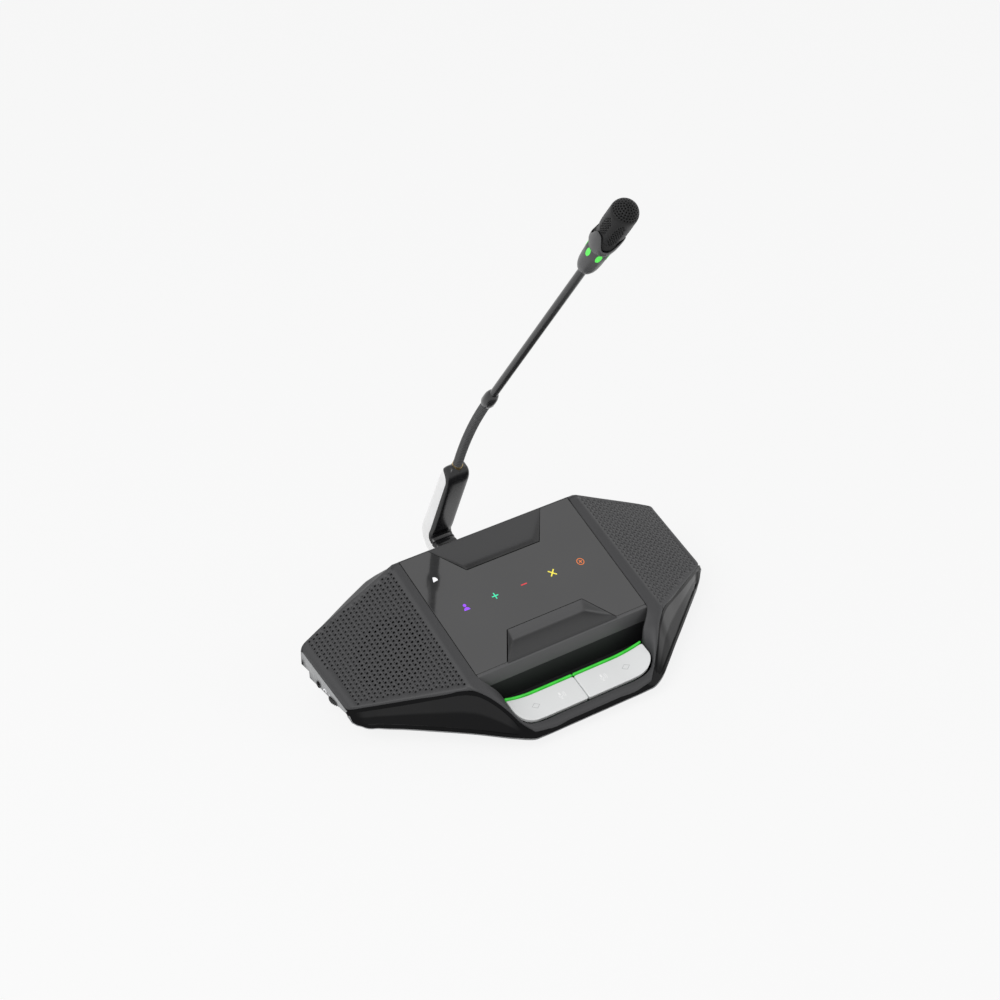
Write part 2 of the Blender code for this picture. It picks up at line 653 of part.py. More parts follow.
def make_top_cover():
    """One-piece top cover: roof with the panel and key openings and the loudspeaker holes."""
    cover = piece("top_cover", housing({}), paint("cover_plastic", (0.065, 0.065, 0.067), 0.55))
    combine(cover, cutter("cover_inside", housing({"roof": WALL, "front": WALL, "rear": WALL,
                                                   "bottom": WALL, "end": WALL})), "DIFFERENCE")
    below = {"roof": LID_RIM, "front": -OVERRUN, "rear": -OVERRUN, "bottom": -OVERRUN, "end": -OVERRUN}
    combine(cover, cutter("cover_below", housing(below)), "DIFFERENCE")
    opening = block((-PANEL_HALF - GAP, -PANEL_FRONT - OVERRUN, -OVERRUN),
                    (PANEL_HALF + GAP, -PANEL_REAR + GAP, OVERRUN))
    trim = cutter("panel_opening", opening, panel_frame())
    front_limit = block((-BODY_HALF, -WELL_REAR, -OVERRUN), (BODY_HALF, REAR_DEPTH, PANEL_TOP + OVERRUN))
    combine(trim, cutter("panel_opening_limit", front_limit), "INTERSECT")
    combine(cover, trim, "DIFFERENCE")
    lip_front = LIP_INNER + LIP_WIDTH
    lip = prism(well_outline(LIP_HALF, LIP_INNER, lip_front, LIP_SHARES), LIP_BASE - GAP, LIP_TOP)
    combine(cover, cutter("front_lip", lip), "UNION")
    flat_outline = well_outline(LIP_FLAT_HALF, LIP_INNER, lip_front + OVERRUN, LIP_FLAT_SHARES)
    flat = prism(flat_outline, LIP_TOP, PANEL_TOP)
    combine(cover, cutter("lip_flat", flat), "DIFFERENCE")
    below_lip = block((-LIP_HALF - GAP, -FRONT_DEPTH - OVERRUN, -OVERRUN),
                      (LIP_HALF + GAP, -FUNNEL_FULL_DEPTH, LIP_BASE))
    combine(cover, cutter("below_lip", below_lip), "DIFFERENCE")
    funnel = cutter("funnel_wall", mouth_body(WALL, FUNNEL_BASE))
    combine(funnel, cutter("funnel_limit", housing({"roof": WALL / 2, "front": SKIRT_THICKNESS + 2 * GAP})),
            "INTERSECT")
    combine(cover, funnel, "UNION")
    combine(cover, cutter("key_mouth", mouth_body(0, 0)), "DIFFERENCE")
    bosses = [moved(rod(SCREW_BOSS_RADIUS, SCREW_PAD_TOP + GAP, PANEL_TOP, SMALL_SIDES),
                    Matrix.Translation((x, y, 0))) for x, y in screw_places()]
    hanging = cutter("cover_bosses", together(bosses))
    combine(hanging, cutter("cover_boss_limit", housing({"roof": WALL / 2})), "INTERSECT")
    combine(cover, hanging, "UNION")
    bores = [moved(rod(SCREW_RADIUS + GAP, 0, SCREW_SEAT + SCREW_LENGTH + SCREW_BORE_ROOM, SMALL_SIDES),
                   Matrix.Translation((x, y, 0))) for x, y in screw_places()]
    combine(cover, cutter("cover_boss_bores", together(bores)), "DIFFERENCE")
    for side in (1, -1):
        holes = []
        for ring in range(-GRILLE_RINGS, GRILLE_RINGS + 1):
            count = 2 * GRILLE_RINGS + 1 - abs(ring)
            for step in range(count):
                across = (step - (count - 1) / 2) * GRILLE_PITCH
                along = ring * GRILLE_PITCH * math.sin(math.radians(60.0))
                hole = rod(GRILLE_HOLE_RADIUS, -OVERRUN, OVERRUN, HOLE_SIDES)
                holes.append(moved(hole, Matrix.Translation((across, along, 0))))
        combine(cover, cutter(f"grille_holes_{side}", together(holes), wing_frame(side)), "DIFFERENCE")
    return cover


def make_base_pan():
    """Lower housing with its rear bulge, end walls, bosses and the openings for what plugs in."""
    pan = piece("base_pan", housing({}), paint("base_plastic", (0.36, 0.37, 0.38), 0.45))
    inside = {"roof": WALL, "front": SKIRT_THICKNESS + GAP + WALL, "rear": WALL, "bottom": WALL,
              "end": WALL}
    combine(pan, cutter("pan_inside", housing(inside)), "DIFFERENCE")
    keep = {"roof": LID_RIM + GAP, "front": -OVERRUN, "rear": -OVERRUN, "bottom": -OVERRUN,
            "end": -OVERRUN}
    combine(pan, cutter("pan_keep", housing(keep)), "INTERSECT")
    recess = cutter("skirt_recess", housing({"roof": LID_RIM - GAP, "front": -OVERRUN, "rear": -OVERRUN,
                                             "bottom": SKIRT_MARGIN - GAP, "end": SKIRT_MARGIN - GAP}))
    behind = {"roof": -OVERRUN, "front": SKIRT_THICKNESS + GAP, "rear": -2 * OVERRUN,
              "bottom": -OVERRUN, "end": -OVERRUN}
    combine(recess, cutter("skirt_recess_back", housing(behind)), "DIFFERENCE")
    combine(pan, recess, "DIFFERENCE")
    floor = BOTTOM_HEIGHT + WALL - GAP
    bosses = []
    for x, y in screw_places():
        bosses.append(moved(rod(SCREW_PAD_RADIUS, floor, SCREW_PAD_TOP, SMALL_SIDES),
                            Matrix.Translation((x, y, 0))))
    for x in (-REAR_POST_X, REAR_POST_X):
        bosses.append(moved(rod(BOARD_POST_RADIUS, floor, SOCKET_BASE - BOARD_THICKNESS - 2 * GAP,
                                SMALL_SIDES), Matrix.Translation((x, REAR_POST_Y, 0))))
        bosses.append(moved(rod(BOARD_POST_RADIUS, floor, SOCKET_BASE - BOARD_THICKNESS - 2 * GAP,
                                SMALL_SIDES), Matrix.Translation((x, REAR_POST_NEAR_Y, 0))))
    bosses.append(block((-COLUMN_HALF, COLUMN_FRONT, floor), (COLUMN_HALF, COLUMN_REAR, column_top())))
    for side in (-1, 1):
        for y in (-SIDE_BOARD_REAR - 2 * POST_RADIUS, -SIDE_BOARD_FRONT + 2 * POST_RADIUS):
            x = side * (SIDE_BOARD_X + POST_RADIUS + GAP)
            bosses.append(moved(rod(POST_RADIUS, underside(abs(x)) + WALL / 2,
                                    SIDE_BOARD_TOP - SIDE_BOARD_THICKNESS - GAP, SMALL_SIDES),
                                Matrix.Translation((x, y, 0))))
    bosses += [moved(rod(WELL_POST_RADIUS, floor, WELL_FLOOR_TOP - WELL_FLOOR_THICKNESS - GAP, SMALL_SIDES),
                     Matrix.Translation((x, -WELL_POST_Y, 0))) for x in (-WELL_POST_X, WELL_POST_X)]
    combine(pan, cutter("pan_bosses", together(bosses)), "UNION")
    combine(pan, cutter("pan_funnel_room", mouth_body(WALL + GAP, FUNNEL_BASE - GAP)), "DIFFERENCE")
    lip_room = block((-LIP_HALF - 2 * GAP, -FRONT_DEPTH, LIP_BASE - GAP),
                     (LIP_HALF + 2 * GAP, -WELL_HOUSING_FRONT - GAP, LIP_TOP))
    combine(pan, cutter("pan_lip_room", lip_room), "DIFFERENCE")
    openings = []
    for x in (-SOCKET_X, SOCKET_X):
        openings.append(block((x - SOCKET_WIDTH / 2 - GAP, 0, SOCKET_BASE - GAP),
                              (x + SOCKET_WIDTH / 2 + GAP, REAR_DEPTH + OVERRUN,
                               SOCKET_BASE + SOCKET_HEIGHT + GAP)))
    foot = ARM_FOOT_THICKNESS / 2 + GAP
    openings.append(block((-ARM_HALF - GAP, REAR_DEPTH - 2 * WALL, ARM_FOOT_HEIGHT - foot),
                          (ARM_HALF + GAP, REAR_DEPTH + OVERRUN, ARM_FOOT_HEIGHT + foot)))
    for side in (-1, 1):
        turn = Matrix.Translation((side * BODY_HALF, -JACK_Y, JACK_HEIGHT)) @ Matrix.Rotation(
            math.pi / 2, 4, "Y")
        openings.append(moved(rod(JACK_NOSE_RADIUS + GAP, -OVERRUN / 2, OVERRUN / 2, SMALL_SIDES), turn))
        slot = WHEEL_RADIUS + WHEEL_SLOT_MARGIN
        openings.append(moved(rod(slot, WHEEL_BASE - OVERRUN, WHEEL_BASE + WHEEL_THICKNESS
                                  + WHEEL_SLOT_MARGIN), Matrix.Translation((side * WHEEL_X, -WHEEL_Y, 0))))
    combine(pan, cutter("pan_openings", together(openings)), "DIFFERENCE")
    for name, radius, seats in (("pan_shank_holes", SCREW_RADIUS + GAP, [PANEL_TOP, PANEL_TOP]),
                                ("pan_head_holes", SCREW_HEAD_RADIUS + GAP, [SCREW_SEAT, ARM_SCREW_SEAT])):
        holes = [moved(rod(radius, -OVERRUN, seats[0], SMALL_SIDES), Matrix.Translation((x, y, 0)))
                 for x, y in screw_places()]
        holes += [moved(rod(radius, -OVERRUN, seats[1], SMALL_SIDES),
                        Matrix.Translation((x, ARM_SCREW_Y, 0))) for x in (-ARM_SCREW_X, ARM_SCREW_X)]
        combine(pan, cutter(name, together(holes)), "DIFFERENCE")
    return pan


def underside(x):
    """Height of the housing's outside bottom at a distance from the middle."""
    rise = (UNDERSIDE_END_HEIGHT - BOTTOM_HEIGHT) / (BODY_HALF - UNDERSIDE_ROOT)
    return BOTTOM_HEIGHT + max(0, x - UNDERSIDE_ROOT) * rise


def column_top():
    """Height of the column under the arm's foot."""
    return ARM_FOOT_HEIGHT - ARM_FOOT_THICKNESS / 2 - GAP


def screw_places():
    """x and y of each case screw."""
    return [(x, y) for x in (-SCREW_BOSS_X, SCREW_BOSS_X) for y in (SCREW_BOSS_REAR, SCREW_BOSS_SETBACK - FOLD_DEPTH)]


def make_screw(name, x, y, seat, length):
    """Screw from below: a shank above its seat and a head just under it."""
    head = seat - GAP
    profile = [(0, seat + length), (SCREW_RADIUS, seat + length), (SCREW_RADIUS, head),
               (SCREW_HEAD_RADIUS, head), (SCREW_HEAD_RADIUS, head - SCREW_HEAD_HEIGHT),
               (0, head - SCREW_HEAD_HEIGHT)]
    turned(name, profile, bpy.data.materials["zinc_screw"], Matrix.Translation((x, y, 0)), SMALL_SIDES)


def make_screws():
    """Four case screws up into the cover's bosses and two up into the arm's foot."""
    paint("zinc_screw", (0.55, 0.55, 0.56), 0.35, 1.0)
    for index, (x, y) in enumerate(screw_places()):
        make_screw(f"case_screw_{index + 1}", x, y, SCREW_SEAT, SCREW_LENGTH)
    for name, x in (("left", -ARM_SCREW_X), ("right", ARM_SCREW_X)):
        make_screw(f"arm_screw_{name}", x, ARM_SCREW_Y, ARM_SCREW_SEAT, ARM_SCREW_LENGTH)


def make_skirt():
    """Glossy front face, one piece from wing to wing that passes under the lip."""
    gloss = paint("gloss_black", (0.012, 0.012, 0.013), 0.12)
    shape = housing({"roof": LID_RIM + GAP, "bottom": SKIRT_MARGIN, "end": SKIRT_MARGIN})
    skirt = piece("front_skirt", shape, gloss)
    centre = cutter("skirt_centre", housing({"bottom": SKIRT_MARGIN}))
    limit = block((-LIP_HALF, -FRONT_DEPTH - OVERRUN, -OVERRUN), (LIP_HALF, 0, LIP_BASE - GAP))
    combine(centre, cutter("skirt_centre_limit", limit), "INTERSECT")
    combine(skirt, centre, "UNION")
    behind = {"roof": -OVERRUN, "front": SKIRT_THICKNESS, "rear": -2 * OVERRUN, "bottom": -OVERRUN,
              "end": -OVERRUN}
    combine(skirt, cutter("skirt_back", housing(behind)), "DIFFERENCE")


def make_panel():
    """Glass touch panel with its two notches, and the tray under it with the nameplate bays."""
    glass_outline = [
        (PANEL_HALF, -PANEL_REAR), (BAY_WIDE_HALF, -PANEL_REAR), (BAY_NARROW_HALF, -BAY_REAR_END),
        (-BAY_NARROW_HALF, -BAY_REAR_END), (-BAY_WIDE_HALF, -PANEL_REAR), (-PANEL_HALF, -PANEL_REAR),
        (-PANEL_HALF, -PANEL_FRONT), (-BAY_WIDE_HALF, -PANEL_FRONT), (-BAY_NARROW_HALF, -BAY_FRONT_START),
        (BAY_NARROW_HALF, -BAY_FRONT_START), (BAY_WIDE_HALF, -PANEL_FRONT), (PANEL_HALF, -PANEL_FRONT)]
    piece("touch_panel", prism(glass_outline, -GLASS_THICKNESS, 0),
          paint("panel_glass", (0.085, 0.085, 0.087), 0.08), panel_frame())
    pad_top = -GLASS_THICKNESS - GAP
    tray = piece("panel_tray", block((-PANEL_HALF, -PANEL_FRONT, -TRAY_PAD_DEPTH),
                                     (PANEL_HALF, -PANEL_REAR, pad_top)),
                 paint("tray_plastic", (0.07, 0.07, 0.072), 0.5), panel_frame())
    flange = block((-TRAY_FLANGE_HALF, -TRAY_FLANGE_FRONT, -TRAY_PAD_DEPTH),
                   (TRAY_FLANGE_HALF, -TRAY_FLANGE_REAR, -WALL - GAP))
    combine(tray, cutter("tray_flange", flange, panel_frame()), "UNION")
    floor = -BAY_FALL - BAY_FLOOR
    for name, rear, front, wide in (("rear_bay", PANEL_REAR + GAP, BAY_REAR_END - GAP, "rear"),
                                    ("front_bay", BAY_FRONT_START + GAP, PANEL_FRONT, "front")):
        stand = prism(bay_outline(rear, front, wide, -GAP), floor, 0)
        combine(tray, cutter(f"{name}_stand", stand, panel_frame()), "UNION")
    fascia_top = panel_height(-FASCIA_FRONT)
    fascia = block((-PANEL_HALF, -FASCIA_FRONT, fascia_top - FASCIA_HEIGHT),
                   (PANEL_HALF, -FASCIA_FRONT + FASCIA_THICKNESS, fascia_top - FASCIA_THICKNESS))
    combine(tray, cutter("tray_fascia", fascia), "UNION")
    for name, rear, front, wide in (("rear_bay", PANEL_REAR, BAY_REAR_END, "rear"),
                                    ("front_bay", BAY_FRONT_START, PANEL_FRONT, "front")):
        hollow = prism(bay_outline(rear, front, wide, -2 * GAP), floor - OVERRUN, OVERRUN)
        shallow, deep = (rear, front) if wide == "rear" else (front, rear)
        lift = Vector((0, -shallow, 0))
        run = Vector((0, shallow - deep, -BAY_FALL))
        up = run.cross(Vector((1, 0, 0)))
        if up.z < 0:
            up = -up
        cut = bmesh.ops.bisect_plane(hollow, geom=hollow.verts[:] + hollow.edges[:] + hollow.faces[:],
                                     plane_co=lift, plane_no=up, clear_inner=True)
        rim = [part for part in cut["geom_cut"] if isinstance(part, bmesh.types.BMEdge)]
        bmesh.ops.edgeloop_fill(hollow, edges=rim)
        combine(tray, cutter(f"{name}_hollow", hollow, panel_frame()), "DIFFERENCE")
    board_low = -MAIN_BOARD_DEPTH - BOARD_THICKNESS
    for name, radius, low, high in (
            ("tray_posts", BOARD_POST_RADIUS, -MAIN_BOARD_DEPTH + GAP, -TRAY_PAD_DEPTH + GAP),
            ("tray_stakes", STAKE_RADIUS, board_low - STAKE_HEAD, -MAIN_BOARD_DEPTH + 2 * GAP),
            ("tray_stake_heads", BOARD_POST_RADIUS, board_low - GAP - STAKE_HEAD, board_low - GAP)):
        shapes = [moved(rod(radius, low, high, SMALL_SIDES), Matrix.Translation((x, y, 0)))
                  for x, y in board_posts()]
        combine(tray, cutter(name, together(shapes), panel_frame()), "UNION")


def board_posts():
    """Places of the main board's posts in the panel frame."""
    return [(x, -y) for x in (-MAIN_BOARD_HALF + BOARD_POST_INSET, MAIN_BOARD_HALF - BOARD_POST_INSET)
            for y in (MAIN_BOARD_REAR + BOARD_POST_INSET, MAIN_BOARD_FRONT - BOARD_POST_INSET)]


def make_main_board():
    """Main circuit board staked under the tray, with the lamps behind the icons."""
    low, high = -MAIN_BOARD_DEPTH - BOARD_THICKNESS, -MAIN_BOARD_DEPTH
    board = piece("main_board", block((-MAIN_BOARD_HALF, -MAIN_BOARD_FRONT, low),
                                      (MAIN_BOARD_HALF, -MAIN_BOARD_REAR, high)),
                  paint("circuit_board", (0.02, 0.16, 0.07), 0.4), panel_frame())
    lamps = []
    for step in range(ICON_COUNT):
        x = (step - (ICON_COUNT - 1) / 2) * ICON_PITCH
        half = LED_SIZE / 2
        lamps.append(block((x - half, -ICON_DISTANCE - half, high - GAP),
                           (x + half, -ICON_DISTANCE + half, high + LED_HEIGHT)))
    combine(board, cutter("icon_lamps", together(lamps), panel_frame()), "UNION")
    bores = [moved(rod(STAKE_RADIUS + GAP, low - GAP, high + GAP, SMALL_SIDES),
                   Matrix.Translation((x, y, 0))) for x, y in board_posts()]
    combine(board, cutter("main_board_bores", together(bores), panel_frame()), "DIFFERENCE")


def key_curve(distance):
    """Rise of the key surface at a distance from the middle: flat, then a parabola to the end."""
    share = max(0, distance - KEY_FLAT_HALF) / (KEY_HALF - KEY_FLAT_HALF)
    return KEY_RISE * share * share


def key_band(side, top, bottom, inner):
    """Outline across the unit of a strip that follows the key surface, as x and height."""
    xs = [inner] + [KEY_FLAT_HALF + (KEY_HALF - KEY_FLAT_HALF) * step / KEY_STEPS
                    for step in range(KEY_STEPS + 1)]
    upper = [(side * x, key_curve(x) + top) for x in xs]
    lower = [(side * x, key_curve(x) + bottom) for x in reversed(xs)]
    return upper + lower


def upright_to_slope():
    """Turn that stands an outline drawn as x and height upright, thickened along the slope."""
    return Matrix.Rotation(math.pi / 2, 4, "X")


def hinge_point():
    """Middle of the key hinge rod in the key frame."""
    return Vector((0, -HINGE_DISTANCE, -HINGE_DROP))


def hinge_rod(radius, low, high, sides=SMALL_SIDES):
    """Cylinder along the hinge axis between two x places of the key frame."""
    turn = Matrix.Translation(hinge_point()) @ Matrix.Rotation(math.pi / 2, 4, "Y")
    return moved(rod(radius, low, high, sides), turn)


def make_keys():
    """Two talk keys with hinge lugs, on one steel rod that the well carries."""
    silver = paint("key_silver", (0.62, 0.63, 0.63), 0.35, 0.2)
    axis_frame = key_frame() @ Matrix.Translation(hinge_point())
    back = Matrix.Translation(-hinge_point())
    for name, side in (("talk_key_left", -1), ("talk_key_right", 1)):
        band = prism(key_band(side, 0, -KEY_THICKNESS, KEY_PARTING), 0, KEY_LENGTH)
        key = piece(name, moved(band, back @ upright_to_slope()), silver, axis_frame)
        right = [(KEY_HALF * across, -KEY_LENGTH * along) for across, along in KEY_CORNER_SHARES]
        corner = mirrored(right)
        mask = prism(corner, -OVERRUN, OVERRUN)
        combine(key, cutter(f"{name}_outline", mask, key_frame()), "INTERSECT")
        lugs = []
        for share in KEY_LUG_SHARES:
            x = side * share * KEY_HALF
            centre = hinge_point()
            lugs.append(block((x - LUG_WIDTH / 2, centre.y - LUG_HALF, centre.z - LUG_HALF),
                              (x + LUG_WIDTH / 2, centre.y + LUG_HALF,
                               key_curve(abs(x)) - KEY_THICKNESS / 2)))
        combine(key, cutter(f"{name}_lugs", together(lugs), key_frame()), "UNION")
        bore = hinge_rod(HINGE_RADIUS + HINGE_CLEARANCE, -KEY_HALF, KEY_HALF)
        combine(key, cutter(f"{name}_bore", bore, key_frame()), "DIFFERENCE")
    end = WELL_LUG_X + LUG_WIDTH / 2 - GAP
    piece("key_hinge_rod", hinge_rod(HINGE_RADIUS, -end, end),
          paint("rod_steel", (0.6, 0.6, 0.62), 0.25, 1.0), key_frame())


def make_light_strips():
    """Two green light strips along the keys' rear edges."""
    glow = paint("strip_green", (0.03, 0.55, 0.05), 0.2)
    for name, side in (("light_strip_left", -1), ("light_strip_right", 1)):
        band = prism(key_band(side, STRIP_PROUD, STRIP_PROUD - STRIP_HEIGHT, KEY_PARTING), 0, STRIP_WIDTH)
        stand = Matrix.Translation((0, STRIP_WIDTH + STRIP_GAP, 0)) @ upright_to_slope()
        piece(name, moved(band, stand), glow, key_frame())


def make_key_well():
    """Dark well under the keys: floor, rear wall, the ledge for the strips and the rod's lugs."""
    floor_low = WELL_FLOOR_TOP - WELL_FLOOR_THICKNESS
    outline = well_outline(WELL_HOUSING_HALF, WELL_LEDGE_REAR, WELL_HOUSING_FRONT, WELL_FLOOR_SHARES)
    well = piece("key_well", prism(outline, floor_low, WELL_FLOOR_TOP),
                 paint("well_black", (0.013, 0.013, 0.014), 0.6))
    fascia_low = panel_height(-FASCIA_FRONT) - FASCIA_HEIGHT
    wall = block((-WELL_REAR_HALF, -WELL_LEDGE_REAR, floor_low),
                 (WELL_REAR_HALF, -WELL_LEDGE_REAR + WELL_WALL, fascia_low - GAP))
    combine(well, cutter("well_wall", wall), "UNION")
    ledge = block((-KEY_HALF, -WELL_LEDGE_FRONT, floor_low),
                  (KEY_HALF, -WELL_LEDGE_REAR + GAP, WELL_LEDGE_TOP))
    combine(well, cutter("well_ledge", ledge), "UNION")
    stand = Matrix.Translation((0, STRIP_WIDTH + STRIP_GAP, 0)) @ upright_to_slope()
    seats = []
    for side in (-1, 1):
        band = prism(key_band(side, STRIP_PROUD - STRIP_HEIGHT - GAP, -KEY_HEIGHT / 2, 0), 0, STRIP_WIDTH)
        seats.append(moved(band, stand))
    for index, shape in enumerate(seats):
        combine(well, cutter(f"strip_seat_{index}", shape, key_frame()), "UNION")
    centre = key_frame() @ hinge_point()
    lugs = []
    for low, high in ((-WELL_LUG_X - LUG_WIDTH / 2, -WELL_LUG_X + LUG_WIDTH / 2),
                      (-CENTRE_LUG_HALF, CENTRE_LUG_HALF),
                      (WELL_LUG_X - LUG_WIDTH / 2, WELL_LUG_X + LUG_WIDTH / 2)):
        lugs.append(block((low, centre.y - LUG_HALF, floor_low), (high, centre.y + LUG_HALF,
                                                                  centre.z + HINGE_RADIUS + GAP)))
    combine(well, cutter("well_lugs", together(lugs)), "UNION")
    bore = hinge_rod(HINGE_RADIUS + HINGE_CLEARANCE, -KEY_HALF, KEY_HALF)
    combine(well, cutter("well_bore", bore, key_frame()), "DIFFERENCE")


def make_key_board():
    """Key circuit board on the well's floor and a rubber dome under each key."""
    low = WELL_FLOOR_TOP + GAP
    outline = [(-KEY_BOARD_HALF, -WELL_HOUSING_FRONT + WELL_WALL), (KEY_BOARD_HALF, -WELL_HOUSING_FRONT
                                                                   + WELL_WALL),
               (KEY_BOARD_HALF, -KEY_BOARD_REAR), (-KEY_BOARD_HALF, -KEY_BOARD_REAR)]
    piece("key_board", prism(outline, low, low + KEY_BOARD_THICKNESS), bpy.data.materials["circuit_board"])
    rubber = paint("dome_rubber", (0.25, 0.25, 0.26), 0.7)
    base = low + KEY_BOARD_THICKNESS + GAP
    for name, side in (("key_dome_left", -1), ("key_dome_right", 1)):
        frame = Matrix.Translation((side * DOME_X, -DOME_Y, base))
        piece(name, rod(DOME_RADIUS, 0, DOME_HEIGHT, SMALL_SIDES, DOME_TOP_RADIUS), rubber, frame)


def make_speakers():
    """Loudspeakers under the wings: dust cloth, basket with magnet, and cone."""
    cloth_paint = paint("dust_cloth", (0.02, 0.02, 0.02), 0.9)
    basket_paint = paint("basket_steel", (0.18, 0.18, 0.19), 0.4, 0.8)
    cone_paint = paint("cone_paper", (0.03, 0.03, 0.03), 0.8)
    for name, side in (("left", -1), ("right", 1)):
        frame = wing_frame(side)
        top = -WALL - GAP
        piece(f"speaker_cloth_{name}", rod(SPEAKER_RADIUS, top - CLOTH_THICKNESS, top), cloth_paint, frame)
        rim = top - CLOTH_THICKNESS - GAP
        inner = SPEAKER_RADIUS - SPEAKER_WALL - GAP
        waist = rim - SPEAKER_DEPTH + SPEAKER_MAGNET_HEIGHT
        profile = [(inner, rim), (SPEAKER_RADIUS, rim), (SPEAKER_RADIUS, rim - SPEAKER_RIM_HEIGHT),
                   (SPEAKER_MAGNET_RADIUS, waist), (SPEAKER_MAGNET_RADIUS, rim - SPEAKER_DEPTH),
                   (0, rim - SPEAKER_DEPTH), (0, waist + SPEAKER_WALL),
                   (SPEAKER_MAGNET_RADIUS - SPEAKER_WALL, waist + SPEAKER_WALL),
                   (inner, rim - SPEAKER_RIM_HEIGHT)]
        turned(f"speaker_basket_{name}", profile, basket_paint, frame, closed=True)
        edge = rim - SPEAKER_RIM_HEIGHT / 2
        cone = [(CONE_NECK_RADIUS, edge - CONE_DEPTH), (CONE_RADIUS, edge),
                (inner - GAP, edge), (inner - GAP, edge - CONE_THICKNESS),
                (CONE_RADIUS, edge - CONE_THICKNESS),
                (CONE_NECK_RADIUS, edge - CONE_DEPTH - CONE_THICKNESS),
                (0, edge - CONE_DEPTH - CONE_THICKNESS), (0, edge - CONE_DEPTH)]
        turned(f"speaker_cone_{name}", cone, cone_paint, frame, closed=True)


def make_wing_ends():
    """Headphone jack, volume wheel, its encoder and the small board that carries them."""
    wheel_paint = paint("wheel_black", (0.02, 0.02, 0.02), 0.5)
    jack_paint = paint("jack_black", (0.03, 0.03, 0.03), 0.4)
    encoder_paint = paint("encoder_grey", (0.2, 0.2, 0.21), 0.4)
    low = SIDE_BOARD_TOP - SIDE_BOARD_THICKNESS
    for name, side in (("left", -1), ("right", 1)):
        xs = sorted((side * SIDE_BOARD_X, side * (SIDE_BOARD_X + SIDE_BOARD_WIDTH)))
        piece(f"side_board_{name}", block((xs[0], -SIDE_BOARD_FRONT, low), (xs[1], -SIDE_BOARD_REAR,
                                                                           SIDE_BOARD_TOP)),
              bpy.data.materials["circuit_board"])
        inner_wall = BODY_HALF - WALL - GAP
        xs = sorted((side * (inner_wall - JACK_DEPTH), side * inner_wall))
        jack = piece(f"headphone_jack_{name}",
                     block((xs[0], -JACK_Y - JACK_WIDTH / 2, low - GAP - JACK_SPAN),
                           (xs[1], -JACK_Y + JACK_WIDTH / 2, low - GAP)), jack_paint)
        turn = Matrix.Translation((side * inner_wall, -JACK_Y, JACK_HEIGHT)) @ Matrix.Rotation(
            side * math.pi / 2, 4, "Y")
        nose = moved(rod(JACK_NOSE_RADIUS, -WALL / 2, WALL + GAP, SMALL_SIDES), turn)
        combine(jack, cutter(f"jack_nose_{name}", nose), "UNION")
        bore = moved(rod(JACK_BORE_RADIUS, -JACK_DEPTH + WALL, OVERRUN, SMALL_SIDES), turn)
        combine(jack, cutter(f"jack_bore_{name}", bore), "DIFFERENCE")
        frame = Matrix.Translation((side * WHEEL_X, -WHEEL_Y, WHEEL_BASE))
        rim = []
        for step in range(2 * WHEEL_TEETH):
            angle = math.pi * step / WHEEL_TEETH
            radius = WHEEL_RADIUS - (WHEEL_TOOTH_DEPTH if step % 2 else 0)
            rim.append((radius * math.cos(angle), radius * math.sin(angle)))
        wheel = piece(f"volume_wheel_{name}", prism(rim, 0, WHEEL_THICKNESS), wheel_paint, frame)
        bore = rod(WHEEL_BORE_RADIUS, -OVERRUN, OVERRUN, SMALL_SIDES)
        combine(wheel, cutter(f"wheel_bore_{name}", bore, frame), "DIFFERENCE")
        top = low - GAP - WHEEL_BASE
        profile = [(0, top), (ENCODER_RADIUS, top), (ENCODER_RADIUS, WHEEL_THICKNESS + GAP),
                   (ENCODER_SPINDLE_RADIUS, WHEEL_THICKNESS + GAP), (ENCODER_SPINDLE_RADIUS, 0), (0, 0)]
        turned(f"volume_encoder_{name}", profile, encoder_paint, frame, SMALL_SIDES)


def make_rear():
    """Rear circuit board and the two network sockets."""
    top = SOCKET_BASE - GAP
    notch = COLUMN_HALF + GAP
    outline = mirrored([(notch, COLUMN_FRONT - GAP), (notch, REAR_BOARD_REAR),
                        (REAR_BOARD_HALF, REAR_BOARD_REAR), (REAR_BOARD_HALF, REAR_BOARD_FRONT)])
    piece("rear_board", prism(outline, top - BOARD_THICKNESS, top), bpy.data.materials["circuit_board"])
    shield = paint("socket_metal", (0.5, 0.5, 0.5), 0.3, 1.0)
    rear = REAR_DEPTH - GAP
    middle = SOCKET_BASE + SOCKET_HEIGHT / 2
    for name, x in (("left", -SOCKET_X), ("right", SOCKET_X)):
        socket = piece(f"network_socket_{name}",
                       block((x - SOCKET_WIDTH / 2, rear - SOCKET_DEPTH, SOCKET_BASE),
                             (x + SOCKET_WIDTH / 2, rear, SOCKET_BASE + SOCKET_HEIGHT)), shield)
        half_width, half_height = SOCKET_MOUTH_WIDTH / 2, SOCKET_MOUTH_HEIGHT / 2
        mouth = block((x - half_width, rear - SOCKET_MOUTH_DEPTH, middle - half_height),
                      (x + half_width, rear + OVERRUN, middle + half_height))
        combine(socket, cutter(f"socket_mouth_{name}", mouth), "DIFFERENCE")


def make_feet():
    """Four rubber feet under the flat part of the base."""
    rubber = paint("foot_rubber", (0.03, 0.03, 0.03), 0.85)
    places = [(x, -y) for x in (-FOOT_X, FOOT_X) for y in (FOOT_FRONT, FOOT_REAR)]
    for index, (x, y) in enumerate(places):
        piece(f"foot_{index + 1}", rod(FOOT_RADIUS, 0, FOOT_HEIGHT), rubber, Matrix.Translation((x, y, 0)))


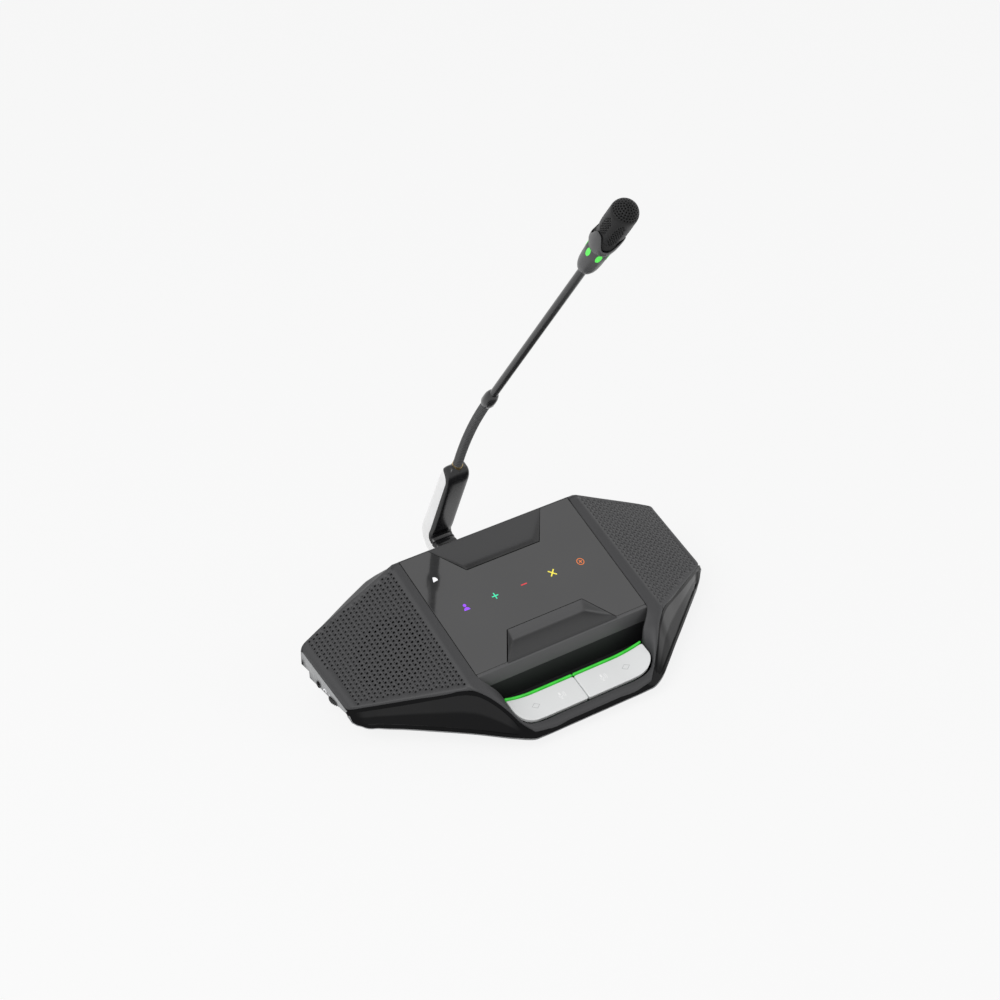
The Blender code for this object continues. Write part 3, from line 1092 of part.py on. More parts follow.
def arm_sides(inset=0):
    """Front and rear side lines of the arm from its foot to its top, as y and z, moved inward."""
    along = Vector((-math.sin(ARM_LEAN), math.cos(ARM_LEAN)))
    rear_normal = Vector((math.cos(ARM_LEAN), math.sin(ARM_LEAN)))
    top = Vector((ARM_TOP_Y, ARM_TOP_HEIGHT))
    knee = Vector((ARM_KNEE_Y, ARM_KNEE_HEIGHT))
    foot_half = ARM_FOOT_THICKNESS / 2 - inset
    knee_half = ARM_KNEE_THICKNESS / 2 - inset
    top_half = ARM_TOP_THICKNESS / 2 - inset
    front = [Vector((ARM_FOOT_END + inset, ARM_FOOT_HEIGHT + foot_half)),
             Vector((ARM_TURN_Y - foot_half / 2, ARM_FOOT_HEIGHT + foot_half)),
             knee - rear_normal * knee_half + along * foot_half / 2,
             top - rear_normal * top_half]
    rear = [top + rear_normal * top_half,
            knee + rear_normal * knee_half]
    centre = knee - along * foot_half / 2
    for step in range(1, ARM_ROUND_STEPS):
        turn = -(math.pi / 2 + ARM_LEAN / 2) * step / ARM_ROUND_STEPS
        spoke = Vector((rear_normal.x * math.cos(turn) - rear_normal.y * math.sin(turn),
                        rear_normal.x * math.sin(turn) + rear_normal.y * math.cos(turn)))
        rear.append(centre + spoke * (knee_half + (foot_half - knee_half) * step / ARM_ROUND_STEPS))
    rear.append(Vector((ARM_TURN_Y - foot_half / 2, ARM_FOOT_HEIGHT - foot_half)))
    rear.append(Vector((ARM_FOOT_END + inset, ARM_FOOT_HEIGHT - foot_half)))
    return front, rear


def arm_cap(inset=0):
    """Round top of the arm between its front and rear sides."""
    along = Vector((-math.sin(ARM_LEAN), math.cos(ARM_LEAN)))
    rear_normal = Vector((math.cos(ARM_LEAN), math.sin(ARM_LEAN)))
    top = Vector((ARM_TOP_Y, ARM_TOP_HEIGHT))
    half = ARM_TOP_THICKNESS / 2 - inset
    points = []
    for step in range(1, ARM_ROUND_STEPS):
        turn = math.pi * step / ARM_ROUND_STEPS
        rise = along * half * math.sin(turn) * ARM_CAP_SHARE
        points.append(top - rear_normal * half * math.cos(turn) + rise)
    return points


def arm_outline(inset=0):
    """Closed outline of the arm, moved inward."""
    front, rear = arm_sides(inset)
    return [tuple(point) for point in front + arm_cap(inset) + rear]


def arm_front_band(depth):
    """Outline of the layer behind the arm's front side, from above the knee over the top."""
    front, _ = arm_sides(-OVERRUN / 2)
    inner, _ = arm_sides(depth)
    along = Vector((-math.sin(ARM_LEAN), math.cos(ARM_LEAN)))
    rise = along * OVERRUN
    start = front[1] - Vector((ARM_COVER_RUN, 0))
    inner_start = inner[1] - Vector((ARM_COVER_RUN, 0))
    outer = [start, front[1], front[2], front[3] + rise]
    inside = [inner[3] + rise, inner[2], inner[1], inner_start]
    return [tuple(point) for point in outer + inside]


def neck_frame(start_y=NECK_START_Y, start_z=NECK_START_HEIGHT, lean=NECK_START_LEAN):
    """Frame at a point of the microphone's axis: z along the axis, x across the unit."""
    return Matrix.Translation((0, start_y, start_z)) @ Matrix.Rotation(lean, 4, "X")


def neck_joints():
    """Place and lean of each link of the neck, and of the stem at the end."""
    places = []
    point = Vector((NECK_START_Y, NECK_START_HEIGHT))
    length = NECK_LENGTH / NECK_LINKS
    for step in range(NECK_LINKS):
        lean = NECK_START_LEAN + (NECK_END_LEAN - NECK_START_LEAN) * (step + 0.5) / NECK_LINKS
        places.append((point.x, point.y, lean))
        point = point + Vector((-math.sin(lean), math.cos(lean))) * length
    places.append((point.x, point.y, NECK_END_LEAN))
    return places


def make_arm():
    """Arm behind the unit: pearl rear shell, dark front cover, socket ring and the neck's plug."""
    half = ARM_HALF
    shell = piece("arm_shell", moved(prism(arm_outline(), -half, half), across_frame()),
                  paint("arm_pearl", (0.80, 0.80, 0.80), 0.25))
    hollow = prism(arm_outline(ARM_WALL), -half + ARM_WALL, half - ARM_WALL)
    limit = cutter("arm_hollow_limit", block((-ARM_HALF, ARM_FOOT_END + ARM_FOOT_SOLID, 0),
                                             (ARM_HALF, ARM_KNEE_Y + ARM_HALF, NECK_START_HEIGHT + OVERRUN)))
    cover = piece("arm_cover", moved(prism(arm_outline(), -half, half), across_frame()),
                  paint("arm_dark", (0.025, 0.025, 0.026), 0.3))
    band = prism(arm_front_band(ARM_COVER_THICKNESS), -half - OVERRUN, half + OVERRUN)
    combine(cover, cutter("arm_cover_band", moved(band, across_frame())), "INTERSECT")
    grown = prism(arm_front_band(ARM_COVER_THICKNESS + GAP), -half - OVERRUN, half + OVERRUN)
    combine(shell, cutter("arm_shell_band", moved(grown, across_frame())), "DIFFERENCE")
    inside = cutter("arm_hollow", moved(hollow, across_frame()))
    combine(inside, limit, "INTERSECT")
    combine(shell, inside, "DIFFERENCE")
    bores = [moved(rod(SCREW_RADIUS + GAP, 0, ARM_SCREW_SEAT + ARM_SCREW_LENGTH + GAP, SMALL_SIDES),
                   Matrix.Translation((x, ARM_SCREW_Y, 0))) for x in (-ARM_SCREW_X, ARM_SCREW_X)]
    combine(shell, cutter("arm_screw_bores", together(bores)), "DIFFERENCE")
    frame = neck_frame()
    ferrule = FERRULE_LENGTH + GAP
    seat = cutter("socket_seat", rod(SOCKET_RING_RADIUS + GAP, -ferrule - SOCKET_RING_LENGTH - GAP, OVERRUN,
                                     ROUND_SIDES), frame)
    combine(shell, seat, "DIFFERENCE")
    combine(cover, seat, "DIFFERENCE")
    top = -ferrule - GAP
    low = top - SOCKET_RING_LENGTH
    ring = [(SOCKET_RING_BORE, top), (SOCKET_RING_RADIUS, top), (SOCKET_RING_RADIUS, low),
            (SOCKET_RING_BORE, low)]
    turned("mic_socket", ring, paint("socket_brass", (0.55, 0.42, 0.2), 0.3, 1.0), frame, SMALL_SIDES * 2,
           closed=True)
    plug = [(0, -GAP), (FERRULE_RADIUS, -GAP), (FERRULE_RADIUS, -ferrule), (PLUG_RADIUS, -ferrule),
            (PLUG_RADIUS, -ferrule - PLUG_LENGTH), (0, -ferrule - PLUG_LENGTH)]
    turned("neck_plug", plug, paint("neck_dark", (0.03, 0.03, 0.032), 0.35, 0.3), frame)


def make_neck():
    """Gooseneck links: ribbed sleeves with a bore, relieved at the ends so that they can tilt."""
    dark = bpy.data.materials["neck_dark"]
    length = NECK_LENGTH / NECK_LINKS
    valley = NECK_RADIUS - NECK_RIB_DEPTH
    relief = math.tan(NECK_RELIEF)
    low, high = GAP / 2 + valley * relief, length - GAP / 2 - valley * relief
    for step, (y, z, lean) in enumerate(neck_joints()[:-1]):
        profile = [(NECK_BORE_RADIUS, length - GAP / 2 - NECK_BORE_RADIUS * relief), (valley, high)]
        pitch = (high - low) / NECK_RIBS
        for rib in range(NECK_RIBS):
            profile.append((NECK_RADIUS, high - (rib + 0.5) * pitch))
            if rib < NECK_RIBS - 1:
                profile.append((valley, high - (rib + 1) * pitch))
        profile += [(valley, low), (NECK_BORE_RADIUS, GAP / 2 + NECK_BORE_RADIUS * relief)]
        turned(f"neck_link_{step + 1}", profile, dark, neck_frame(y, z, lean), SMALL_SIDES, closed=True)


def make_stem():
    """Stem on the neck: collar, tube, microphone body, light ring, cup, capsule and windscreen."""
    dark = bpy.data.materials["neck_dark"]
    grey = paint("mic_grey", (0.09, 0.09, 0.092), 0.4)
    frame = neck_frame(*neck_joints()[-1])
    start = GAP / 2
    lead = COLLAR_END_RADIUS * math.tan(NECK_RELIEF)
    collar = [(TUBE_RADIUS + GAP, start + COLLAR_LENGTH), (COLLAR_END_RADIUS, start + COLLAR_LENGTH),
              (COLLAR_RADIUS, start + COLLAR_LENGTH * COLLAR_HIGH_SHARE),
              (COLLAR_RADIUS, start + COLLAR_LENGTH * COLLAR_LOW_SHARE),
              (COLLAR_END_RADIUS, start + lead), (0, start), (0, start + COLLAR_LENGTH * COLLAR_SEAT_SHARE),
              (TUBE_RADIUS + GAP, start + COLLAR_LENGTH * COLLAR_SEAT_SHARE)]
    turned("neck_collar", collar, dark, frame, ROUND_SIDES, closed=True)
    tube_low = start + COLLAR_LENGTH * COLLAR_SEAT_SHARE + GAP
    tube = [(0, HEAD_START - GAP), (TUBE_RADIUS, HEAD_START - GAP), (TUBE_RADIUS, tube_low), (0, tube_low)]
    turned("stem_tube", tube, dark, frame, ROUND_SIDES)
    body_top = HEAD_START + MIC_BODY_LENGTH
    body = [(0, body_top), (MIC_BODY_RADIUS, body_top),
            (MIC_BODY_RADIUS, HEAD_START + MIC_BODY_LENGTH * MIC_SHOULDER_SHARE),
            (MIC_BODY_RADIUS * MIC_WAIST_RADIUS_SHARE, HEAD_START + MIC_BODY_LENGTH * MIC_WAIST_SHARE),
            (TUBE_RADIUS, HEAD_START),
            (0, HEAD_START)]
    turned("mic_body", body, grey, frame)
    ring_low = body_top + GAP
    ring_top = ring_low + LIGHT_RING_LENGTH
    light = [(CAPSULE_SEAT_RADIUS, ring_top), (MIC_BODY_RADIUS, ring_top), (MIC_BODY_RADIUS, ring_low),
             (CAPSULE_SEAT_RADIUS, ring_low)]
    turned("mic_light_ring", light, bpy.data.materials["strip_green"], frame, closed=True)
    cup_low = ring_top + GAP
    cup_top = cup_low + MIC_CUP_LENGTH
    inner = MIC_CUP_RADIUS - MIC_CUP_WALL
    cup = [(inner, cup_top), (MIC_CUP_RADIUS, cup_top), (MIC_CUP_RADIUS, cup_low + MIC_CUP_WALL),
           (MIC_BODY_RADIUS, cup_low), (0, cup_low), (0, cup_low + MIC_CUP_WALL),
           (inner, cup_low + MIC_CUP_WALL)]
    holder = turned("mic_cup", cup, grey, frame, closed=True)
    dips = []
    for step in range(TONGUE_COUNT):
        turn = Matrix.Rotation(math.pi * (2 * step + 1) / TONGUE_COUNT, 4, "Z")
        dip = rod(TONGUE_RADIUS, 0, MIC_CUP_RADIUS + OVERRUN, SMALL_SIDES)
        lift = Matrix.Translation((0, 0, cup_top + TONGUE_RADIUS - TONGUE_DIP))
        dips.append(moved(dip, turn @ lift @ Matrix.Rotation(math.pi / 2, 4, "Y")))
    for index, dip in enumerate(dips):
        combine(holder, cutter(f"tongue_dip_{index}", dip, frame), "DIFFERENCE")
    seat = cup_low + MIC_CUP_WALL + GAP
    screen_radius = min(WINDSCREEN_RADIUS, inner - GAP)
    dome_centre = HEAD_START + HEAD_LENGTH - WINDSCREEN_RADIUS
    outer, hollow = [], []
    bore = screen_radius - WINDSCREEN_WALL
    for step in range(DOME_STEPS + 1):
        angle = math.pi / 2 * step / DOME_STEPS
        outer.append((WINDSCREEN_RADIUS * math.sin(angle), dome_centre + WINDSCREEN_RADIUS * math.cos(angle)))
        hollow.append((bore * math.cos(angle), dome_centre + bore * math.sin(angle)))
    profile = outer + [(screen_radius, cup_top), (screen_radius, seat), (bore, seat)] + hollow
    screen = turned("windscreen", profile, paint("screen_dark", (0.03, 0.03, 0.03), 0.45), frame, closed=True)
    pegs = []
    for row in range(WINDSCREEN_HOLE_ROWS):
        height = cup_top + (dome_centre - cup_top) * (row + 0.5) / WINDSCREEN_HOLE_ROWS
        for step in range(WINDSCREEN_HOLES):
            turn = Matrix.Rotation(2 * math.pi * (step + 0.5 * (row % 2)) / WINDSCREEN_HOLES, 4, "Z")
            peg = rod(WINDSCREEN_HOLE_RADIUS, bore / 2, WINDSCREEN_RADIUS + OVERRUN, HOLE_SIDES)
            pegs.append(moved(peg, turn @ Matrix.Translation((0, 0, height))
                              @ Matrix.Rotation(math.pi / 2, 4, "Y")))
    combine(screen, cutter("windscreen_holes", together(pegs), frame), "DIFFERENCE")
    capsule_low = seat + GAP
    turned("mic_capsule", [(0, capsule_low + CAPSULE_LENGTH), (CAPSULE_RADIUS, capsule_low + CAPSULE_LENGTH),
                           (CAPSULE_RADIUS, capsule_low), (0, capsule_low)],
           bpy.data.materials["basket_steel"], frame)


def centre_on_origin():
    """Move the unit along Y so that the middle of its bounding box lies over the origin."""
    bpy.context.view_layer.update()
    graph = bpy.context.evaluated_depsgraph_get()
    ends = []
    for thing in PARTS.objects:
        if thing.type == "MESH":
            shown = thing.evaluated_get(graph)
            ends += [(shown.matrix_world @ vertex.co).y for vertex in shown.data.vertices]
    ROOT.location.y = -(min(ends) + max(ends)) / 2


def main():
    """Build every sub-part and set the unit on its origin."""
    clear_scene()
    make_top_cover()
    make_base_pan()
    make_screws()
    make_skirt()
    make_panel()
    make_main_board()
    make_keys()
    make_light_strips()
    make_key_well()
    make_key_board()
    make_speakers()
    make_wing_ends()
    make_rear()
    make_feet()
    make_arm()
    make_neck()
    make_stem()
    centre_on_origin()


main()
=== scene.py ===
"""Conference delegate unit in a pale studio: a winged desk housing with a glass panel, two lit
talk keys, perforated loudspeaker wings and a gooseneck microphone on a rear arm.

Tables of points are in millimetres in the unit's own frame, whose y is 0 at the rear edge of the
glass and whose z is 0 on the table. place() turns them into the frame of the CAD model.
"""
import json
import math
import bmesh
import bpy
import numpy as np
from mathutils import Matrix, Vector
from mathutils.geometry import delaunay_2d_cdt


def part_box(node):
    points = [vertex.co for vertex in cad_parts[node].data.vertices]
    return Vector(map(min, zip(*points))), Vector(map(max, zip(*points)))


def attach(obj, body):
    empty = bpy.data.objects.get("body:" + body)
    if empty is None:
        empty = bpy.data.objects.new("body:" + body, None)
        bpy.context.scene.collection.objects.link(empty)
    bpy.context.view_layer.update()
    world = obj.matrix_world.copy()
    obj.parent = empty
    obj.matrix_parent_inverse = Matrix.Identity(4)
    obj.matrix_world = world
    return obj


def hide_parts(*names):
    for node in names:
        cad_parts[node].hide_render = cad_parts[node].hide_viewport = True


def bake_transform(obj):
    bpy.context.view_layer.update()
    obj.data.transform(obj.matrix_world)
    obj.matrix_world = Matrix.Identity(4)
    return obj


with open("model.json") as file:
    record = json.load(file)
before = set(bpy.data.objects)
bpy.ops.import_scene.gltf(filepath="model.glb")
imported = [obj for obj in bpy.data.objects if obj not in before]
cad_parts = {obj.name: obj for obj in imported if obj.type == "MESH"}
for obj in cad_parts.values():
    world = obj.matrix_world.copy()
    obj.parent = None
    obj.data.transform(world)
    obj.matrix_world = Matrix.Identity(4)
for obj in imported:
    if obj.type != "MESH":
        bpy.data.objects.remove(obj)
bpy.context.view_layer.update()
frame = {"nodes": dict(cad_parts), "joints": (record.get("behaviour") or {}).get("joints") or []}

MM = 0.001
SIDES = ((1, "right"), (-1, "left"))
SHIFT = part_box("foot_1")[0][1] + 0.097  # metres from the unit's own frame to the CAD frame

# ---------------------------------------------------------------- shader maths
FINE_GRAIN = 2600.0


class Wire:
    """A shader socket that sums and products of Python expressions can use."""

    def __init__(self, finish, socket):
        self.finish, self.socket = finish, socket

    def _math(self, operation, *others):
        return self.finish.node("ShaderNodeMath", {"operation": operation},
                                {i: value for i, value in enumerate((self, *others))}).out(0)

    def __add__(self, other): return self._math("ADD", other)
    def __sub__(self, other): return self._math("SUBTRACT", other)
    def __rsub__(self, other): return self.finish.node(
        "ShaderNodeMath", {"operation": "SUBTRACT"}, {0: other, 1: self}).out(0)
    def __mul__(self, other): return self._math("MULTIPLY", other)
    __radd__, __rmul__ = __add__, __mul__

    def over(self, level): return self._math("GREATER_THAN", level)
    def sine(self): return self._math("SINE")
    def high(self, other): return self._math("MAXIMUM", other)

    def ease(self, start, end, low=0.0, high=1.0):
        """Rises smoothly from low at start to high at end."""
        return self.finish.node("ShaderNodeMapRange", {"interpolation_type": "SMOOTHSTEP"}, {
            "Value": self, "From Min": start, "From Max": end, "To Min": low, "To Max": high}).out("Result")


class Made:
    """A node that has been made; out() gives one of its output sockets."""

    def __init__(self, finish, node):
        self.finish, self.thing = finish, node

    def out(self, key):
        return Wire(self.finish, self.thing.outputs[key])


class Finish:
    """A material, or the world, that is being put together on its one shader."""

    def __init__(self, name, owner=None, shader="Principled BSDF"):
        self.material = owner or bpy.data.materials.new(name)
        self.material.use_nodes = True
        self.nodes = self.material.node_tree.nodes
        self.links = self.material.node_tree.links
        self.shader = self.nodes[shader]

    def node(self, kind, settings=None, sockets=None):
        """Any node from its type, its settings and the values or links of its sockets."""
        made = self.nodes.new(kind)
        for key, value in (settings or {}).items():
            setattr(made, key, value)
        for key, value in (sockets or {}).items():
            self.feed(made.inputs[key], value)
        return Made(self, made)

    def feed(self, socket, value):
        """Links or sets a socket; three numbers get a full alpha where the socket is a colour."""
        if isinstance(value, Wire):
            self.links.new(value.socket, socket)
        elif isinstance(value, (tuple, list)) and len(value) == 3 and len(socket.default_value) == 4:
            socket.default_value = (*value, 1.0)
        else:
            socket.default_value = value

    def set(self, **sockets):
        """Feeds the shader's sockets, whose names are written with underscores."""
        for key, value in sockets.items():
            self.feed(self.shader.inputs[key.replace("_", " ")], value)
        return self

    def spot(self):
        """Object coordinates."""
        return self.node("ShaderNodeTexCoord").out("Object")

    def own(self, name):
        """A value that the mesh carries itself."""
        return self.node("ShaderNodeAttribute",
                         {"attribute_type": "GEOMETRY", "attribute_name": name}).out("Fac")

    def axes(self):
        """Object coordinates as three numbers."""
        parts = self.node("ShaderNodeSeparateXYZ", None, {0: self.spot()})
        return parts.out(0), parts.out(1), parts.out(2)

    def noise(self, scale, detail=3.0):
        """Cloudy value from 0 to 1, with about a scale's number of clouds in a metre."""
        return self.node("ShaderNodeTexNoise", {"normalize": True}, {
            "Vector": self.spot(), "Scale": scale, "Detail": detail, "Roughness": 0.5}).out(0)

    def blend(self, factor, first, second):
        """Colour from first to second."""
        mix = self.node("ShaderNodeMix", {"data_type": "RGBA"}, {"Factor": factor}).thing
        self.feed(mix.inputs[6], first)
        self.feed(mix.inputs[7], second)
        return Wire(self, mix.outputs[2])

    def relief(self, height, distance, strength=1.0):
        """Fine relief: a height from 0 to 1 that stands for a distance in metres."""
        bump = self.node("ShaderNodeBump", None, {"Strength": strength, "Distance": distance,
                                                  "Height": height})
        self.feed(self.shader.inputs["Normal"], bump.out("Normal"))
        return self


def shades(colour, span):
    """A colour made darker and lighter by a share."""
    return tuple(c * (1 - span) for c in colour), tuple(c * (1 + span) for c in colour)


def moulded(name, colour, rough, grain=FINE_GRAIN, depth=0.00004, tone=0.10, rough_span=0.06, **more):
    """Moulded plastic: a fine spark-eroded grain, with a slow drift of tone and of gloss."""
    finish = Finish(name)
    drift = finish.noise(38.0, 2.0)
    fine = finish.noise(grain, 2.0)
    finish.set(Base_Color=finish.blend(drift * 0.6 + fine * 0.4, *shades(colour, tone)),
               Roughness=drift * rough_span + fine * (rough_span / 2) + (rough - rough_span * 0.75), **more)
    return finish.relief(fine, depth, 0.6)


def polished(name, colour, rough, ripple=0.00002, **more):
    """Polished plastic: very slight moulding ripples and a few wiped streaks in the gloss."""
    finish = Finish(name)
    wave = finish.noise(24.0, 1.0)
    dust = finish.noise(900.0, 2.0).ease(0.62, 0.75)
    streak = finish.node("ShaderNodeTexNoise", None, {
        "Vector": finish.node("ShaderNodeMapping", None, {
            "Vector": finish.spot(), "Scale": (20.0, 160.0, 160.0)}).out(0), "Scale": 1.0}).out(0)
    finish.set(Base_Color=finish.blend(wave, *shades(colour, 0.1)),
               Roughness=streak * 0.05 + dust * 0.06 + rough, **more)
    return finish.relief(wave, ripple, 0.3)


def turned_metal(name, colour, rough, pitch=5200.0, metallic=1.0):
    """Machined metal: fine tool lines and a cloudy tone."""
    finish = Finish(name)
    lines = (finish.axes()[2] * pitch).sine() * 0.5 + 0.5
    cloud = finish.noise(420.0, 3.0)
    finish.set(Base_Color=finish.blend(cloud, shades(colour, 0.18)[0], colour),
               Roughness=lines * 0.08 + cloud * 0.12 + rough, Metallic=metallic)
    return finish.relief(lines, 0.00001, 0.4)


def glowing(name, colour, deep, strength):
    """Lit plastic: bright along the lamps, deeper between them."""
    finish = Finish(name)
    lamps = ((finish.axes()[0] * 520.0).sine() * 0.5 + 0.5) * 0.35 + finish.noise(260.0, 2.0) * 0.4
    tint = finish.blend(lamps, colour, deep)
    return finish.set(Base_Color=tint, Emission_Color=tint, Emission_Strength=strength,
                      Roughness=finish.noise(600.0) * 0.1 + 0.25)


def lamp_ink(name, colour, strength=0.55):
    """Print that glows with an even colour and a faint screen of dots: back-lit print under glass; on the end
    signs, which have no lamp behind them, the glow is painted light.
    """
    finish = Finish(name)
    x, y, _ = finish.axes()
    dots = ((x * 9000.0).sine() * (y * 9000.0).sine()) * 0.06 + 0.5
    tint = finish.blend(dots, shades(colour, 0.15)[0], colour)
    return finish.set(Base_Color=tint, Emission_Color=tint, Emission_Strength=strength,
                      Roughness=finish.noise(500.0) * 0.1 + 0.3)


def woven(name, colour, thread=3200.0):
    """Woven dust cloth: two crossing sets of threads."""
    finish = Finish(name)
    x, y, _ = finish.axes()
    weave = ((x * thread).sine() * (y * thread).sine()) * 0.5 + 0.5
    finish.set(Base_Color=finish.blend(weave, shades(colour, 0.5)[0], colour),
               Roughness=weave * 0.1 + 0.8)
    return finish.relief(weave, 0.0002)


def circuit(name):
    """Circuit board: solder mask over tracks, with tinned pads."""
    finish = Finish(name)
    x, y, _ = finish.axes()
    tracks = ((x * 2400.0).sine() * (y * 900.0).sine()).over(0.35)
    pads = finish.node("ShaderNodeTexVoronoi", None, {"Vector": finish.spot(), "Scale": 330.0}).out(0)
    pad = 1 - pads.ease(0.16, 0.2)
    mask = finish.blend(tracks, (0.012, 0.10, 0.045), (0.03, 0.19, 0.085))
    finish.set(Base_Color=finish.blend(pad, mask, (0.62, 0.6, 0.55)), Roughness=0.4 - pad * 0.1,
               Metallic=pad * 0.8)
    return finish.relief(tracks * 0.4 + pad, 0.00004)


def ribbed_painted_shade(name, groove_painted_shade, crest, rough):
    """Dark ribbed tube: the mesh's own ridge value is 0 in the grooves and 1 on the crests; the colour is
    near black in the grooves, painted shade, and lighter on the crests, a painted highlight.
    """
    finish = Finish(name)
    ridge = finish.own("ridge")
    fine = finish.noise(FINE_GRAIN, 2.0)
    # grooves near black: painted shade; crests lighter: painted highlight
    finish.set(Base_Color=finish.blend(ridge.ease(0.25, 0.85), groove_painted_shade, crest),
               Roughness=fine * 0.08 + rough)
    return finish.relief(fine, 0.00002, 0.4)


def shade_painted_plastic(name, dark, light, rough):
    """Moulded plastic whose tone runs from dark to light with the mesh's own tone value: painted shade where
    the value is low and painted light where it is high.
    """
    finish = Finish(name)
    fine = finish.noise(FINE_GRAIN, 2.0)
    finish.set(Base_Color=finish.blend(finish.own("tone") + (fine - 0.5) * 0.08, dark, light),
               Roughness=fine * 0.06 + rough, Specular_IOR_Level=0.4)
    return finish.relief(fine, 0.00004, 0.6)


def front_lacquer(name, colour):
    """Black lacquer of the front face: the mesh's painted_reflection value says how far it mirrors the room,
    a painted reflection that is strong on the upper part of the face and weak below it and on the rims.
    """
    finish = Finish(name)
    painted_reflection = finish.own("painted_reflection")
    wave = finish.noise(30.0, 1.0)
    finish.set(Base_Color=finish.blend(wave, shades(colour, 0.2)[0], colour),
               Roughness=finish.noise(700.0) * 0.04 + 0.14, Specular_IOR_Level=0.06,
               Coat_Weight=painted_reflection, Coat_Roughness=0.05)
    return finish.relief(wave, 0.000004, 0.3)


# ---------------------------------------------------------------- finishes
# the lacquer's coat follows the mesh's painted reflection value
GLOSS = front_lacquer("front_lacquer", (0.0045, 0.0045, 0.005))
COVER = moulded("cover_plastic", (0.047, 0.047, 0.049), 0.50, Specular_IOR_Level=0.35)
# darker plastic for the floors of the holes: painted shade in the holes
COVER_DIMPLE_SHADE = moulded("cover_plastic_dimples_painted_shade", (0.022, 0.022, 0.023), 0.6, Specular_IOR_Level=0.2)
BASE = moulded("base_plastic", (0.36, 0.365, 0.37), 0.42, tone=0.04)
GLASS = polished("panel_glass", (0.037, 0.037, 0.038), 0.03, ripple=0.000003, IOR=1.72)
# dark to light: painted shade and painted light on the bays' walls and floors
TRAY_PAINTED_SHADE = shade_painted_plastic("tray_plastic", (0.012, 0.012, 0.0125), (0.092, 0.092, 0.094), 0.42)
FASCIA = moulded("fascia_plastic", (0.074, 0.074, 0.076), 0.4)
WELL = moulded("well_black", (0.014, 0.014, 0.015), 0.5, Specular_IOR_Level=0.2)
KEY = moulded("key_silver", (0.80, 0.81, 0.81), 0.30, grain=5200.0, depth=0.00001, tone=0.03,
              Coat_Weight=0.3)
KEY_MARK = lamp_ink("key_mark_white", (0.93, 0.93, 0.93), 0.12)
KEY_LINE = moulded("key_mark_grey", (0.50, 0.51, 0.51), 0.4)
STRIP = glowing("strip_green", (0.04, 0.55, 0.04), (0.02, 0.34, 0.02), 0.45)
MIC_LIGHT = glowing("mic_light_green", (0.10, 0.75, 0.09), (0.03, 0.34, 0.03), 0.6)
PEARL = polished("arm_pearl", (0.98, 0.98, 0.98), 0.26, Coat_Weight=0.5)
ARM_DARK = polished("arm_dark", (0.010, 0.010, 0.011), 0.22)
# near black grooves and grey crests: painted shade and painted highlight on the ribs
NECK = ribbed_painted_shade("neck_dark", (0.004, 0.004, 0.0045), (0.085, 0.085, 0.088), 0.36)
STEM = polished("stem_black", (0.012, 0.012, 0.013), 0.26, Coat_Weight=0.3, Coat_Roughness=0.25)
MIC = moulded("mic_grey", (0.060, 0.060, 0.062), 0.34, grain=4200.0, depth=0.00001)
SCREEN = moulded("screen_dark", (0.012, 0.012, 0.0125), 0.40, grain=4200.0, depth=0.00001,
                 Specular_IOR_Level=0.2)
HOLLOW = woven("hollow_black", (0.004, 0.004, 0.004))
CLOTH = woven("dust_cloth", (0.012, 0.012, 0.012))
CONE = woven("cone_paper", (0.03, 0.03, 0.03), 1800.0)
BOARD = circuit("circuit_board")
RUBBER = moulded("foot_rubber", (0.03, 0.03, 0.03), 0.82, grain=1500.0, depth=0.0001)
DOME = moulded("dome_rubber", (0.25, 0.25, 0.26), 0.66, grain=1500.0)
WHEEL = moulded("wheel_black", (0.014, 0.014, 0.015), 0.45)
JACK = moulded("jack_black", (0.004, 0.004, 0.004), 0.5, Specular_IOR_Level=0.1)
ENCODER = moulded("encoder_grey", (0.2, 0.2, 0.21), 0.4)
STEEL = turned_metal("zinc_screw", (0.62, 0.62, 0.63), 0.25)
ROD = turned_metal("rod_steel", (0.6, 0.6, 0.62), 0.2)
BASKET = turned_metal("basket_steel", (0.18, 0.18, 0.19), 0.35, metallic=0.8)
BRASS = turned_metal("socket_brass", (0.70, 0.52, 0.24), 0.22)
SHIELD = turned_metal("socket_metal", (0.58, 0.58, 0.58), 0.25, pitch=2600.0)
INK = {name: lamp_ink("lamp_" + name, colour) for name, colour in (
    ("purple", (0.30, 0.07, 0.85)), ("green", (0.05, 0.66, 0.36)), ("red", (0.62, 0.04, 0.05)),
    ("yellow", (0.80, 0.70, 0.08)), ("orange", (0.62, 0.16, 0.04)), ("white", (0.75, 0.75, 0.77)))}

# ---------------------------------------------------------------- surfaces


def place(points):
    """Millimetres of the unit's own frame as metres of the CAD frame."""
    points = np.array(points, float) * MM
    points[..., 1] += SHIFT
    return points


def unplace(point):
    """Metres of the CAD frame as millimetres of the unit's own frame."""
    point = np.array(point, float)
    point[1] -= SHIFT
    return point / MM


def around(sides):
    """Angles of equal steps once round."""
    return np.linspace(0, 2 * math.pi, sides, endpoint=False)


def spokes(turn):
    """Unit directions in a plane at the given angles."""
    return np.column_stack([np.cos(turn), np.sin(turn)])


def smooth(share):
    """Rises from 0 to 1 with level ends: three squares less two cubes."""
    return share * share * (3 - 2 * share)


def hermite(t, first, last, first_slope, last_slope):
    """Cubic from first to last with given slopes at its ends."""
    return ((2 * t**3 - 3 * t**2 + 1) * first + (t**3 - 2 * t**2 + t) * first_slope
            + (3 * t**2 - 2 * t**3) * last + (t**3 - t**2) * last_slope)


def oblong(half_width, half_height, middle=(0.0, 0.0)):
    """Corners of a rectangle round a middle."""
    return np.array([(-half_width, -half_height), (half_width, -half_height),
                     (half_width, half_height), (-half_width, half_height)]) + middle


